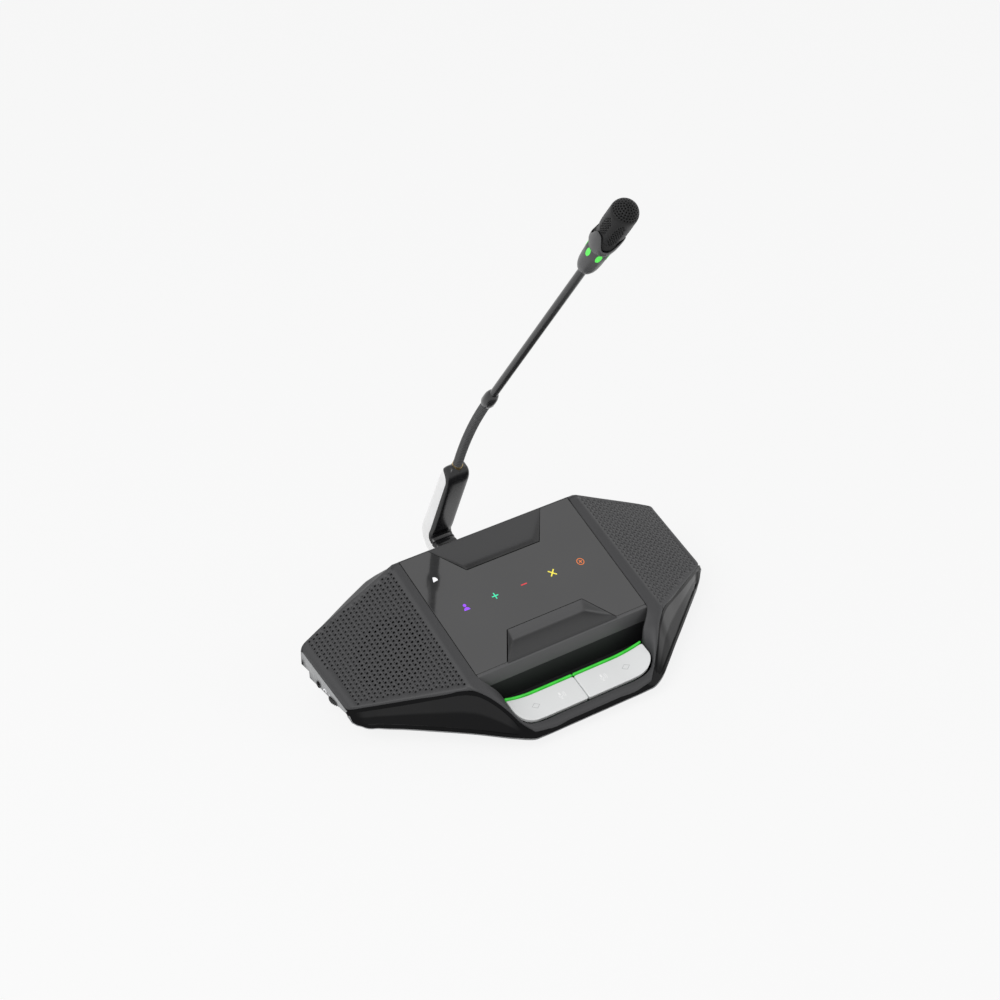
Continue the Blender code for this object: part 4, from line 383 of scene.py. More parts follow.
def ring_part(radius, half, start, stop, count=12):
    """Flat arc of a given mean radius and half width between two angles."""
    way = spokes(np.linspace(start, stop, count))
    return np.vstack([way * (radius + half), way[::-1] * (radius - half)])


def squircle(turn, power):
    """Points of a rounded square: cosine and sine raised to a power, with their signs."""
    way = spokes(turn)
    return np.sign(way) * np.abs(way)**power


def stacked(x, y, z):
    """Points from three arrays of coordinates that are spread to one shape."""
    return np.stack(np.broadcast_arrays(x, y, z), axis=-1)


def grid(rows, columns, start=0, wrap=False):
    """Quads of a grid of vertices, numbered row by row; wrap joins the last column to the first."""
    row = np.arange(rows - 1)[:, None]
    column = np.arange(columns if wrap else columns - 1)[None, :]
    following = (column + 1) % columns
    quads = np.stack([row * columns + column, row * columns + following,
                      (row + 1) * columns + following, (row + 1) * columns + column], axis=-1)
    return (quads.reshape(-1, 4) + start).tolist()


def closed_grid(rows, columns):
    """Quads of a grid whose last row joins its first and whose last column joins its first."""
    row, column = np.arange(rows)[:, None], np.arange(columns)[None, :]
    below, following = (row + 1) % rows * columns, (column + 1) % columns
    quads = [row * columns + column, row * columns + following, below + following, below + column]
    return np.stack(quads, axis=-1).reshape(-1, 4).tolist()


def piece(name, points, faces, finish, body="housing", replaces=(), slot=None, angle=35.0, up=None,
          wall=None, ride=True, own=None):
    """A named piece from points in millimetres and faces, with its doubles merged and turned outward."""
    mesh = bpy.data.meshes.new(name)
    mesh.from_pydata(place(points).tolist(), [], faces)
    for key, values in (own or {}).items():
        mesh.attributes.new(key, "FLOAT", "POINT").data.foreach_set("value", np.asarray(values, np.float32))
    work = bmesh.new()
    work.from_mesh(mesh)
    bmesh.ops.remove_doubles(work, verts=work.verts[:], dist=2e-6)
    bmesh.ops.dissolve_degenerate(work, edges=work.edges[:], dist=1e-6)
    bmesh.ops.recalc_face_normals(work, faces=work.faces[:])
    if up is not None:
        side = sum(face.normal.dot(Vector(up)) * face.calc_area() for face in work.faces)
        if side < 0:
            bmesh.ops.reverse_faces(work, faces=work.faces[:])
    work.to_mesh(mesh)
    work.free()
    mesh.polygons.foreach_set("use_smooth", np.ones(len(mesh.polygons), bool))
    mesh.set_sharp_from_angle(angle=math.radians(angle))
    mesh.materials.append(finish.material)
    thing = bpy.data.objects.new(name, mesh)
    bpy.context.scene.collection.objects.link(thing)
    if wall:
        solid = thing.modifiers.new("wall", "SOLIDIFY")
        solid.thickness, solid.offset = wall * MM, -1.0
    if replaces:
        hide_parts(*replaces)
    if ride:
        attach(thing, body)
    return thing


def dress(finish, *names):
    """Gives CAD nodes a finish through their objects' material slots."""
    for name in names:
        thing = frame["nodes"][name]
        if not thing.material_slots:
            thing.data.materials.append(finish.material)
        for seat in thing.material_slots:
            seat.link = "OBJECT"
            seat.material = finish.material


def follow(table, shares):
    """Rows of a table at shares of its length: cubics between the rows, each row's slope taken
    from the line between its two neighbours."""
    table = np.asarray(table, float)
    at = np.concatenate([[0.0], np.cumsum(np.linalg.norm(np.diff(table[:, :3], axis=0), axis=1))])
    at /= at[-1]
    slope = np.gradient(table, at, axis=0)
    shares = np.clip(np.asarray(shares, float), 0, 1)
    k = np.clip(np.searchsorted(at, shares, side="right") - 1, 0, len(at) - 2)
    span = (at[k + 1] - at[k])[:, None]
    t = (shares - at[k])[:, None] / span
    return hermite(t, table[k], table[k + 1], span * slope[k], span * slope[k + 1])


def bezier(first, middle, last, steps):
    """Points of the parabola between first and last that leaves towards middle, ends included."""
    t = np.linspace(0, 1, steps)[:, None, None]
    return (1 - t)**2 * first + 2 * t * (1 - t) * middle + t**2 * last


def tube(rings):
    """Vertices and faces of a closed body from rings of points, closed by a point in each end."""
    count, sides = rings.shape[:2]
    points = np.vstack([rings.reshape(-1, 3), rings[0].mean(axis=0)[None], rings[-1].mean(axis=0)[None]])
    faces = grid(count, sides, 0, True)
    low, high = count * sides, count * sides + 1
    k = np.arange(sides)
    faces += np.stack([np.full(sides, low), (k + 1) % sides, k], axis=-1).tolist()
    last = (count - 1) * sides
    faces += np.stack([np.full(sides, high), last + k, last + (k + 1) % sides], axis=-1).tolist()
    return points, faces


def spun(profile, sides, axis_point, axis):
    """Rings of a turned body: each profile row is a distance along the axis and a radius."""
    profile = np.asarray(profile, float)
    axis = np.asarray(axis, float) / np.linalg.norm(axis)
    across = np.array([1.0, 0.0, 0.0]) if abs(axis[0]) < 0.9 else np.array([0.0, 1.0, 0.0])
    other = np.cross(axis, across)
    turn = around(sides)[None, :, None]
    rim = np.cos(turn) * across + np.sin(turn) * other
    return (np.asarray(axis_point, float) + profile[:, 0][:, None, None] * axis
            + profile[:, 1][:, None, None] * rim)


def slab(top, bottom):
    """Closed body between two grids of points of the same shape."""
    rows, columns = top.shape[:2]
    points = np.vstack([top.reshape(-1, 3), bottom.reshape(-1, 3)])
    faces = grid(rows, columns) + [face[::-1] for face in grid(rows, columns, rows * columns)]
    rim = np.concatenate([np.arange(columns), np.arange(1, rows) * columns + columns - 1,
                          (rows - 1) * columns + np.arange(columns - 2, -1, -1),
                          np.arange(rows - 2, 0, -1) * columns])
    after = np.roll(rim, -1)
    count = rows * columns
    faces += np.stack([rim, rim + count, after + count, after], axis=-1).tolist()
    return points, faces


def soft_outline(corners, radius, steps=5):
    """Closed outline through corners, each corner cut by a parabola that starts a radius before it."""
    corners = np.asarray(corners, float)
    before, after = np.roll(corners, 1, axis=0), np.roll(corners, -1, axis=0)
    radius = np.broadcast_to(np.asarray(radius, float), (len(corners),))[:, None]

    def towards(other):
        line = other - corners
        length = np.linalg.norm(line, axis=1)[:, None]
        return corners + line / length * np.minimum(radius, length * 0.45)
    return np.moveaxis(bezier(towards(before), corners, towards(after), steps), 0, 1).reshape(-1, 2)


def inward(outline, distance):
    """Outline moved inward along the mean of the normals of its neighbouring sides."""
    before, after = np.roll(outline, 1, axis=0), np.roll(outline, -1, axis=0)
    line = after - before
    normal = np.stack([-line[:, 1], line[:, 0]], axis=1)
    normal /= np.linalg.norm(normal, axis=1)[:, None] + 1e-12
    turn = np.sum(outline[:, 0] * np.roll(outline[:, 1], -1) - np.roll(outline[:, 0], -1) * outline[:, 1])
    return outline + normal * distance * np.sign(turn)


def lid(outline, top, depth, edge, rings=6):
    """Closed body over an outline in a plane: a surface top(x, y) that falls by a quarter circle of
    the edge radius at the rim, an upright side, and a flat underside a depth below."""
    rim = np.linspace(0, math.pi / 2, 5)
    insets = edge * (1 - np.cos(rim))
    falls = edge * (1 - np.sin(rim))
    levels = [np.column_stack([outline, top(*outline.T) - depth])]
    for inset, fall in zip(insets, falls):
        ring = inward(outline, inset)
        levels.append(np.column_stack([ring, top(*ring.T) - fall]))
    centre = outline.mean(axis=0)
    inner = inward(outline, edge)
    for share in np.linspace(1, 0, rings + 1)[1:-1]:
        ring = centre + (inner - centre) * share
        levels.append(np.column_stack([ring, top(*ring.T)]))
    return tube(np.array(levels))


def plate(outline, low, high, edge=0.0):
    """Closed flat body of any outline, with a small bevel along its upper edge."""
    count = len(outline)
    levels = [np.column_stack([outline, np.full(count, low)]),
              np.column_stack([outline, np.full(count, high - edge)])]
    if edge:
        levels.append(np.column_stack([inward(outline, edge), np.full(count, high)]))
    rows = len(levels)
    faces = grid(rows, count, 0, True)
    faces.append(list(range(count))[::-1])
    faces.append([(rows - 1) * count + k for k in range(count)])
    return np.vstack(levels), faces


def joined(*bodies):
    """Several bodies of points and faces as one."""
    points, faces, start = [], [], 0
    for body_points, body_faces in bodies:
        points.append(body_points)
        faces += [[index + start for index in face] for face in body_faces]
        start += len(body_points)
    return np.vstack(points), faces


def flipped(body):
    """The mirror image of a body across the middle of the unit."""
    points, faces = body
    return points * np.array([-1.0, 1.0, 1.0]), [face[::-1] for face in faces]


PANEL_PLANE = (0.0, 72.0, math.radians(21.0))  # y and z of the rear edge, and slope
KEY_PLANE = (-92.6, 20.3, math.radians(18.0))


def on_plane(points, origin_y, origin_z, slope):
    """Points given as x, distance up a slope and height over it, in the unit's frame."""
    x, along, height = np.asarray(points, float).T
    return np.column_stack([x, origin_y + along * math.cos(slope) - height * math.sin(slope),
                            origin_z + along * math.sin(slope) + height * math.cos(slope)])


def on_panel(points):
    """Points of the glass panel's frame in the unit's frame."""
    return on_plane(points, *PANEL_PLANE)


def on_keys(points):
    """Points of the keys' frame in the unit's frame."""
    return on_plane(points, *KEY_PLANE)


def panel_height(y):
    """Height of the glass plane at a y."""
    return PANEL_PLANE[1] + y * math.tan(PANEL_PLANE[2])


# ---------------------------------------------------------------- cover
WING = np.array([[(67.0, 0.0, 72.1), (68.4, -88.3, 38.8)], [(129.5, 2.0, 38.9), (128.2, -49.6, 25.3)]])
BAND = [  # inner line beside the glass and the keys, and outer line of the arms and the lip
    (61.3, -82.5, 40.5, 68.4, -88.4, 38.7), (58.8, -85.3, 38.1, 66.0, -90.6, 37.8),
    (56.3, -87.4, 35.5, 62.3, -93.6, 35.4), (52.9, -89.9, 31.9, 58.5, -97.6, 32.3),
    (50.6, -92.6, 28.0, 55.0, -101.5, 28.4), (49.95, -97.0, 23.9, 51.9, -104.6, 24.2),
    (49.95, -101.0, 21.7, 49.8, -106.7, 20.9), (49.2, -104.7, 20.1, 47.2, -109.0, 17.6),
    (47.3, -106.9, 18.1, 45.0, -111.0, 15.5), (44.8, -108.3, 16.4, 43.2, -112.6, 14.1),
    (40.5, -109.3, 14.8, 40.9, -113.9, 12.9), (36.0, -109.8, 14.3, 34.0, -115.0, 12.5),
    (18.0, -109.9, 14.2, 18.0, -115.1, 12.5), (0.0, -109.9, 14.2, 0.0, -115.1, 12.5)]
REAR_SEAM = 0.014  # shares of the wing's depth and width where its flat field starts and ends
END_START = 0.948
FRONT_START = 0.985
ROOT_START = 0.022
ROLL_STEPS = 5
COVER_WALL = 1.6
BORDER_X = 61.3  # edge of the cover beside the glass
END_X = 129.5  # outer end of the wing at the back
TIP_REACH = 7.0  # length over which the wing's front corner is rounded
TIP_ROUNDS = 30
BORDER_DEPTH = 2.6  # how far the inner edge goes down beside the glass
BAND_DEPTH, BAND_FOOT = 11.0, 7.4  # how far it goes down beside the keys, and the lowest it may reach
BAND_BLEND = 14.0  # rows from one to the other
UP = np.array([0.0, 0.0, 1.0])
WING_STATIONS = np.concatenate([np.linspace(ROOT_START, 0.915, 30), [0.93, END_START]])


def wing_at(u, v):
    """Wing surface: straight lines between its four corners; u runs outward, v forward."""
    u, v = (np.asarray(value, float)[..., None] for value in np.broadcast_arrays(u, v))
    return ((1 - u) * (1 - v) * WING[0, 0] + (1 - u) * v * WING[0, 1]
            + u * (1 - v) * WING[1, 0] + u * v * WING[1, 1])


def wing_place(x, y):
    """u and v of the wing's point over a plan place: a rough first guess and six Newton steps."""
    u, v = (x - WING[0, 0, 0]) / 62.0, -y / 80.0
    for _ in range(6):
        here = wing_at(u, v)
        du = (1 - v)[..., None] * (WING[1, 0] - WING[0, 0]) + v[..., None] * (WING[1, 1] - WING[0, 1])
        dv = (1 - u)[..., None] * (WING[0, 1] - WING[0, 0]) + u[..., None] * (WING[1, 1] - WING[1, 0])
        ex, ey = x - here[..., 0], y - here[..., 1]
        det = du[..., 0] * dv[..., 1] - du[..., 1] * dv[..., 0]
        u = u + (ex * dv[..., 1] - ey * dv[..., 0]) / det
        v = v + (ey * du[..., 0] - ex * du[..., 1]) / det
    return u, v


def end_split(y):
    """Height of the line where the cover ends over the end face."""
    return 35.35 + (y - 0.3) * (12.4 / 45.5)


SPEAKER = np.array([93.0, -40.0])
SPEAKER_RADIUS = 20.0
HOLE_ROWS, HOLE_PITCH = 2.62, 2.94
LATTICE_START, LATTICE_LEAN = (69.4, -1.0), 0.0145
BLIND_HOLE, OPEN_HOLE, PIN_HOLE = 0.66, 0.74, 0.3
PIN_STEP = (0.62, 1.38)  # from each hole to the pin hole beside it
DIMPLE, DIMPLE_WALL = 1.35, 0.4


def lattice(across, along):
    """Centres of the wing's holes, in rows along the glass: each row lies a quarter of a pitch
    further back than its neighbour, and each third one half a pitch the other way."""
    i, j = np.meshgrid(np.arange(30), np.arange(-20, 46), indexing="ij")
    y = (LATTICE_START[1] - (j + 0.25 * i - 0.5 * (i // 3)) * along).ravel()
    x = (LATTICE_START[0] + i * across).ravel() - LATTICE_LEAN * y
    u, v = wing_place(x, y)
    keep = ((u > ROOT_START + 0.0125) & (u < END_START - 0.016)
            & (v > REAR_SEAM + 0.014) & (v < FRONT_START - 0.018))
    return np.column_stack([x, y])[keep]


def circles(centres, radii, sides):
    """Round hole outlines, one for each centre."""
    return centres[:, None, :] + np.asarray(radii)[:, None, None] * spokes(around(sides))


def holed(boundaries, rings, lift, filler=None):
    """Triangles of a plan region with holes, raised onto a surface. boundaries are closed outlines
    round the region; rings is an array of hole outlines; filler adds points to the plan."""
    plan, edges, group = [], [], []
    for outline in boundaries:
        start = sum(map(len, plan))
        loop = np.arange(len(outline)) + start
        plan.append(outline)
        edges.append(np.column_stack([loop, np.roll(loop, -1)]))
        group.append(np.full(len(outline), -1))
    if len(rings):
        count, sides = rings.shape[:2]
        start = sum(map(len, plan))
        ring = np.arange(count * sides).reshape(count, sides) + start
        plan.append(rings.reshape(-1, 2))
        edges.append(np.column_stack([ring.ravel(), np.roll(ring, -1, axis=1).ravel()]))
        group.append(np.repeat(np.arange(count), sides))
    if filler is not None:
        plan.append(filler)
        group.append(np.full(len(filler), -2))
    plan, edges, group = np.vstack(plan), np.vstack(edges), np.concatenate(group)
    faces, origin = delaunay_2d_cdt([Vector(p) for p in plan.tolist()],
                                    [tuple(e) for e in edges.tolist()], [], 1, 1e-5)[2:4]
    first = np.array([found[0] for found in origin])
    faces = np.array([face for face in faces if len(face) == 3])
    groups = group[first][faces]
    corner = plan[first][faces]
    ab, ac = corner[:, 1] - corner[:, 0], corner[:, 2] - corner[:, 0]
    area = np.abs(ab[:, 0] * ac[:, 1] - ab[:, 1] * ac[:, 0])
    in_hole = (groups[:, 0] >= 0) & (groups[:, 0] == groups[:, 1]) & (groups[:, 1] == groups[:, 2])
    faces = faces[~in_hole & (area > 1e-4)]
    return lift(plan[first]), faces.tolist()


def raised(plan):
    """Plan points raised onto the wing."""
    u, v = wing_place(plan[:, 0], plan[:, 1])
    return wing_at(u, v)


def cover_half():
    """Right half of the cover's skin: border and arm band, perforated wing, and rolled edges."""
    along = np.concatenate([np.linspace(REAR_SEAM, 0.94, 36), [0.965, FRONT_START]])
    corner = len(along) - 1
    border_y = BAND[0][1] * along
    border = np.column_stack([np.full(len(along), BORDER_X), border_y, panel_height(border_y) + 0.25,
                              wing_at(np.zeros(len(along)), along) + 0.4 * UP])
    band = follow(BAND, np.linspace(0, 1, 90)[1:])
    rows = np.vstack([border, band])
    inner, outer = rows[:, :3], rows[:, 3:]
    flat = inner - outer
    flat[:, 2] = 0
    flat /= np.linalg.norm(flat, axis=1)[:, None]
    is_band = np.arange(len(rows)) > corner
    blend = np.clip((np.arange(len(rows)) - corner) / BAND_BLEND, 0, 1)
    depth = BORDER_DEPTH + blend * (np.minimum(inner[:, 2] - BAND_FOOT, BAND_DEPTH) - BORDER_DEPTH)
    wall = inner + flat * (0.3 * blend)[:, None] - UP * depth[:, None]
    shoulder = inner - UP * (0.5 + 0.4 * blend)[:, None]
    shares = np.array([0.06, 0.16, 0.3, 0.45, 0.6, 0.72, 0.82])
    crest = (0.25 + 0.55 * blend)[:, None, None]
    across = inner[:, None] + (outer - inner)[:, None] * shares[None, :, None]
    across = across + UP * crest * np.sin(math.pi * shares**1.5)[None, :, None]
    beyond = np.where(is_band[:, None], outer - UP * 1.5 - flat * 0.1,
                      wing_at(ROOT_START, np.concatenate([along, np.ones(len(band))])))
    crown = outer + UP * (0.5 * blend)[:, None]
    roll = bezier(across[:, -1], crown, beyond, ROLL_STEPS)[1:]
    sheet = np.concatenate([wall[:, None], shoulder[:, None], across, np.moveaxis(roll, 0, 1)], axis=1)
    count = sheet.shape[1]
    parts = [(sheet.reshape(-1, 3), grid(len(rows), count))]
    # front edge of the wing, from its root to its end
    start = wing_at(WING_STATIONS, FRONT_START)
    sharp = wing_at(WING_STATIONS, 1.0)
    # end of the wing, from its rear to its front
    end_start = wing_at(END_START, along)
    end_sharp = wing_at(1.0, along)
    end_foot = np.column_stack([end_sharp[:, :2], end_split(end_start[:, 1]) - 0.05])
    # the tip between them: its sharp corner is rounded by averaging neighbouring points
    tip = wing_at(1.0, 1.0)[None]
    path_start = np.vstack([end_start, np.repeat(start[-1:], 5, axis=0), start[::-1]])
    path_sharp = np.vstack([end_sharp, np.repeat(tip, 5, axis=0), sharp[::-1]])
    path_foot = np.vstack([end_foot, np.repeat(tip - UP * 1.9, 5, axis=0), sharp[::-1] - UP * 1.5])
    near = (np.linalg.norm(path_sharp - tip, axis=1) < TIP_REACH)[1:-1, None]
    for _ in range(TIP_ROUNDS):
        for line in (path_sharp, path_foot):
            line[1:-1] = np.where(near, (line[:-2] + 2 * line[1:-1] + line[2:]) / 4, line[1:-1])
    edge = np.moveaxis(bezier(path_start, path_sharp, path_foot, ROLL_STEPS + 2), 0, 1)
    parts.append((edge.reshape(-1, 3), grid(*edge.shape[:2])))
    # small fan where the wing's front edge meets the arm
    fan = np.vstack([sheet[corner + 1, -1:], edge[-1]])
    parts.append((fan, [[0, k, k + 1] for k in range(1, len(fan) - 1)]))
    # perforated field
    ring = np.vstack([wing_at(ROOT_START, along)[:-1], start[:-1], end_start[::-1][:-1],
                      wing_at(WING_STATIONS[::-1], REAR_SEAM)[:-1]])
    centres = lattice(HOLE_ROWS, HOLE_PITCH)
    radii = np.where(np.linalg.norm(centres - SPEAKER, axis=1) < SPEAKER_RADIUS, OPEN_HOLE, BLIND_HOLE)
    between = centres + PIN_STEP
    u, v = wing_place(*between.T)
    between = between[(v > REAR_SEAM + 0.01) & (u < END_START - 0.012)]
    holes = np.vstack([centres, between])
    radii = np.concatenate([radii, np.full(len(between), PIN_HOLE)])
    parts.append(holed([ring[:, :2]], circles(holes, radii, 8), raised))
    return joined(*parts)


REAR = np.array([  # x; then y and z on the rear's shoulder, its flank and at the parting line
    (0.0, 10.0, 62.3, 17.4, 49.0, 20.6, 36.0), (40.0, 10.0, 62.3, 17.4, 49.0, 20.6, 36.0),
    (65.4, 10.0, 62.3, 17.2, 49.0, 20.4, 36.0), (72.0, 10.0, 61.4, 17.0, 48.8, 20.2, 36.0),
    (78.7, 10.0, 59.5, 16.6, 47.6, 19.7, 35.9), (92.1, 10.0, 51.5, 15.3, 43.2, 17.6, 35.8),
    (104.4, 9.0, 44.6, 12.6, 39.6, 14.2, 35.7), (118.0, 6.0, 39.6, 7.8, 37.4, 8.6, 35.5),
    (129.5, 0.5, 36.9, 0.6, 36.1, 0.6, 35.35)])


def rear_rows(x):
    """Shoulder, flank and parting points of the rear over each x."""
    y_z = [np.interp(x, REAR[:, 0], REAR[:, k]) for k in range(1, 7)]
    return [np.column_stack([x, y_z[k], y_z[k + 1]]) for k in (0, 2, 4)]


GLASS_REAR = 0.3


def rear_stations():
    """Line where the rear starts: along the glass, round the border and along the wing to its end."""
    glass = stacked(np.linspace(0, BORDER_X, 24), GLASS_REAR, panel_height(GLASS_REAR) + 0.08)
    turn_y = np.array([0.0, -0.6, -1.24])
    turn = stacked((61.4, 61.6, 61.9), turn_y, panel_height(turn_y) + 0.25)
    root = wing_at(0.0, REAR_SEAM) + [(-3.2, 0, 0.15), (-1.2, 0, 0.3), (0.3, 0, 0.15)]
    end = bezier(wing_at([END_START], REAR_SEAM), wing_at([1.0], REAR_SEAM),
                 np.array([[END_X, -0.7, REAR[-1, -1]]]), ROLL_STEPS + 2)[1:, 0]
    return np.vstack([glass, turn, root, wing_at(WING_STATIONS, REAR_SEAM), end])


def rear_skin():
    """Narrow strip behind the glass and the rounded rear, down to the parting line: at each x a
    cubic over the ridge, the shoulder and the flank."""
    roof = rear_stations()
    x = roof[:, 0]
    shoulder, flank, seam = rear_rows(x)
    fade = np.clip((END_X - x) / 12.0, 0.05, 1)[:, None]
    over = wing_at(np.clip((x - WING[0, 0, 0]) / 62.5, 0, 1), 0.0)
    level = stacked(x, GLASS_REAR + 0.15, panel_height(GLASS_REAR) + 0.1)
    ridge = np.where((x < 66.9)[:, None], level, np.column_stack([x, over[:, 1:]]))
    ridge = roof + (ridge - roof) * fade
    brow = ridge + (shoulder - ridge) * (0.20, 0.20, 0.28)
    table = np.array([roof, ridge, brow, shoulder, flank, seam])
    shares = np.linspace(0, 1, 34)
    sheet = np.array([follow(table[:, k], shares) for k in range(table.shape[1])])
    return sheet.reshape(-1, 3), grid(*sheet.shape[:2])


def make_cover():
    """The cover: one skin with a wall, from two mirrored halves; under it the floors of the holes, darker
    than the cover: painted shade in the holes.
    """
    half = joined(cover_half(), rear_skin())
    piece("cover_shell", *joined(half, flipped(half)), COVER, replaces=("top_cover",), slot="cover",
          up=UP, wall=COVER_WALL)
    u, v = np.meshgrid(np.linspace(0.012, 0.94, 12), np.linspace(0.012, 0.98, 12), indexing="ij")
    top = wing_at(u, v)
    boundary = np.vstack([top[:-1, 0], top[-1, :-1], top[:0:-1, -1], top[0, :0:-1]])
    floor = holed([boundary[:, :2]], circles(SPEAKER[None], [SPEAKER_RADIUS], 48),
                  lambda plan: raised(plan) - DIMPLE * UP)
    # the floors are darker than the cover: painted shade in the holes
    piece("dimple_floor_right", *floor, COVER_DIMPLE_SHADE, up=UP, wall=DIMPLE_WALL, slot="cover")
    piece("dimple_floor_left", *flipped(floor), COVER_DIMPLE_SHADE, up=UP, wall=DIMPLE_WALL, slot="cover")


# ---------------------------------------------------------------- glossy front and base rim
FRONT = [  # upper edge and lower edge of the front face, from the middle to the wing's tip
    (0, -115.2, 11.2, 0, -116.2, 8.4), (20, -115.2, 11.2, 20, -116.2, 8.4),
    (34, -115.1, 11.2, 37, -116.1, 8.5), (40.9, -114.0, 11.5, 44, -115.6, 9.0),
    (43.8, -112.3, 12.8, 48, -114.2, 9.9), (47.2, -109.2, 16.0, 51.5, -112.4, 10.6),
    (51.2, -105.5, 21.6, 55, -110.2, 11.0), (55, -101.7, 26.8, 59, -107.2, 11.4),
    (58.5, -97.8, 30.7, 63, -104.1, 11.9), (62.3, -93.8, 33.9, 67, -101, 12.4),
    (66.6, -90.4, 36.5, 71.5, -97.4, 12.8), (70.6, -87.2, 37.0, 76, -93.8, 13.0),
    (83.8, -78.1, 34.3, 88.2, -84.1, 13.3), (100, -68.0, 30.5, 103, -72, 13.3),
    (115, -58.2, 27.1, 115, -62, 12.6), (124.8, -51.9, 24.7, 123, -55.2, 13.0),
    (128.1, -49.7, 23.4, 127.4, -51.6, 16.5), (128.9, -49.0, 22.6, 128.6, -50.4, 20.6)]


def front_rows(count):
    """Upper and lower edge points of the front face, and its outward directions."""
    rows = follow(FRONT, np.linspace(0, 1, count))
    upper, lower = rows[:, :3], rows[:, 3:]
    out = np.cross(np.gradient(upper + lower, axis=0), upper - lower)
    out /= np.linalg.norm(out, axis=1)[:, None]
    return upper, lower, np.where((out[:, 1] < 0)[:, None], out, -out)


def rim_share(x):
    """Share of the front's height at which the gloss ends and the base's pale rim starts."""
    return np.interp(x, (0, 52, 66, 100, 120, 129), (0.999, 0.999, 0.995, 0.98, 0.96, 0.93))


FRONT_RIMS, FRONT_THICKNESS, FRONT_INSET = (2.4, 2.0), 1.3, 0.7
FRONT_LENGTH = 150.0  # from the middle to the tip
HORIZON = 0.52  # share of the height at which the painted reflection on the upper part of the face ends


def front_sheet(rims, thickness, inset, count=150):
    """Ruled sheet over the front's height, sunk by an inset between two rims of given widths. Its
    columns keep their distance from the edges, so the walls of the sunk face stay even. The painted
    reflection value is high on the upper part of the sunk face and falls to the lower part: a painted
    reflection of the bright room above a horizon line and of the dark below it."""
    upper, lower, out = front_rows(count)
    whole = np.linalg.norm(upper - lower, axis=1)
    height = whole * rim_share(upper[:, 0])
    narrow = np.clip((height - 7.0) / 8.0, 0, 1)
    scale = np.clip(height / (sum(rims) + 3.0), 0, 1)[:, None]
    steps = np.array([0, 0.5, 1.0])
    wall = np.array([0.12, 0.3, 0.45])
    near = np.concatenate([steps * rims[0], rims[0] + wall]) * scale
    far = height[:, None] - np.concatenate([steps * rims[1], rims[1] + wall])[::-1] * scale
    middle = near[:, -1:] + (far[:, :1] - near[:, -1:]) * np.linspace(0, 1, 34)[1:-1]
    distance = np.concatenate([near, middle, far], axis=1)
    rise = np.array([0, 0, 0, 0.15, 0.85, 1.0])
    face = np.concatenate([rise, np.ones(32), rise[::-1]])[None, :]
    end = np.clip((np.linspace(FRONT_LENGTH, 0, count) - 3.5) / 5.0, 0, 1)
    face = face * (smooth(end) * np.clip(narrow * 3, 0, 1))[:, None]
    shares = distance / whole[:, None]
    horizon = HORIZON + 0.05 * np.cos(np.linspace(0, 3, count))[:, None]
    above = smooth(np.clip((horizon - shares) / 0.10 + 0.5, 0, 1))
    # painted reflection: a strong coat above the horizon line, a weak one below it and on the rims
    painted_reflection = 0.05 + face * narrow[:, None] * (0.08 + 0.32 * above)
    top = (upper[:, None] + (lower - upper)[:, None] * shares[..., None]
           - out[:, None] * (inset * face)[..., None])
    return slab(top, top - out[:, None] * thickness), np.tile(painted_reflection.ravel(), 2)


def make_front():
    """Glossy black front face in one piece from wing to wing."""
    half, painted_reflection = front_sheet(FRONT_RIMS, FRONT_THICKNESS, FRONT_INSET)
    piece("front_gloss", *joined(half, flipped(half)), GLOSS, replaces=("front_skirt",), slot="skirt",
          own={"painted_reflection": np.tile(painted_reflection, 2)})


# ---------------------------------------------------------------- base
END_FOOT = [(128.75, -49.0, 20.5), (128.9, -38.0, 20.5), (129.1, -22.0, 20.65), (129.3, -7.4, 20.8),
            (129.35, -6.9, 25.4), (129.5, 1.6, 25.4)]
SOCKET_MOUTH = (20.6, 37.4, 7.2, 21.3)  # from and to along x, and in height
BASE_WALL = 0.8
JACK_SPOT = (-17.5, 22.6)  # y and z on the end face
JACK_RADIUS = 1.6
HEADPHONE_SIGN = (-24.4, 21.9)
WEDGE_SIGN = (-30.4, 21.6)
UNDER_MIDDLE = (0.0, -50.0, 1.5)


def end_face_x(y):
    """x of the end face, which leans outward to the rear."""
    return END_X - (1.6 - y) * 0.0148


def rear_foot(x):
    """Height of the base's lower rear edge."""
    share = np.clip((x - 62.0) / 66.0, 0, 1)
    return 6.0 + 19.4 * smooth(share)


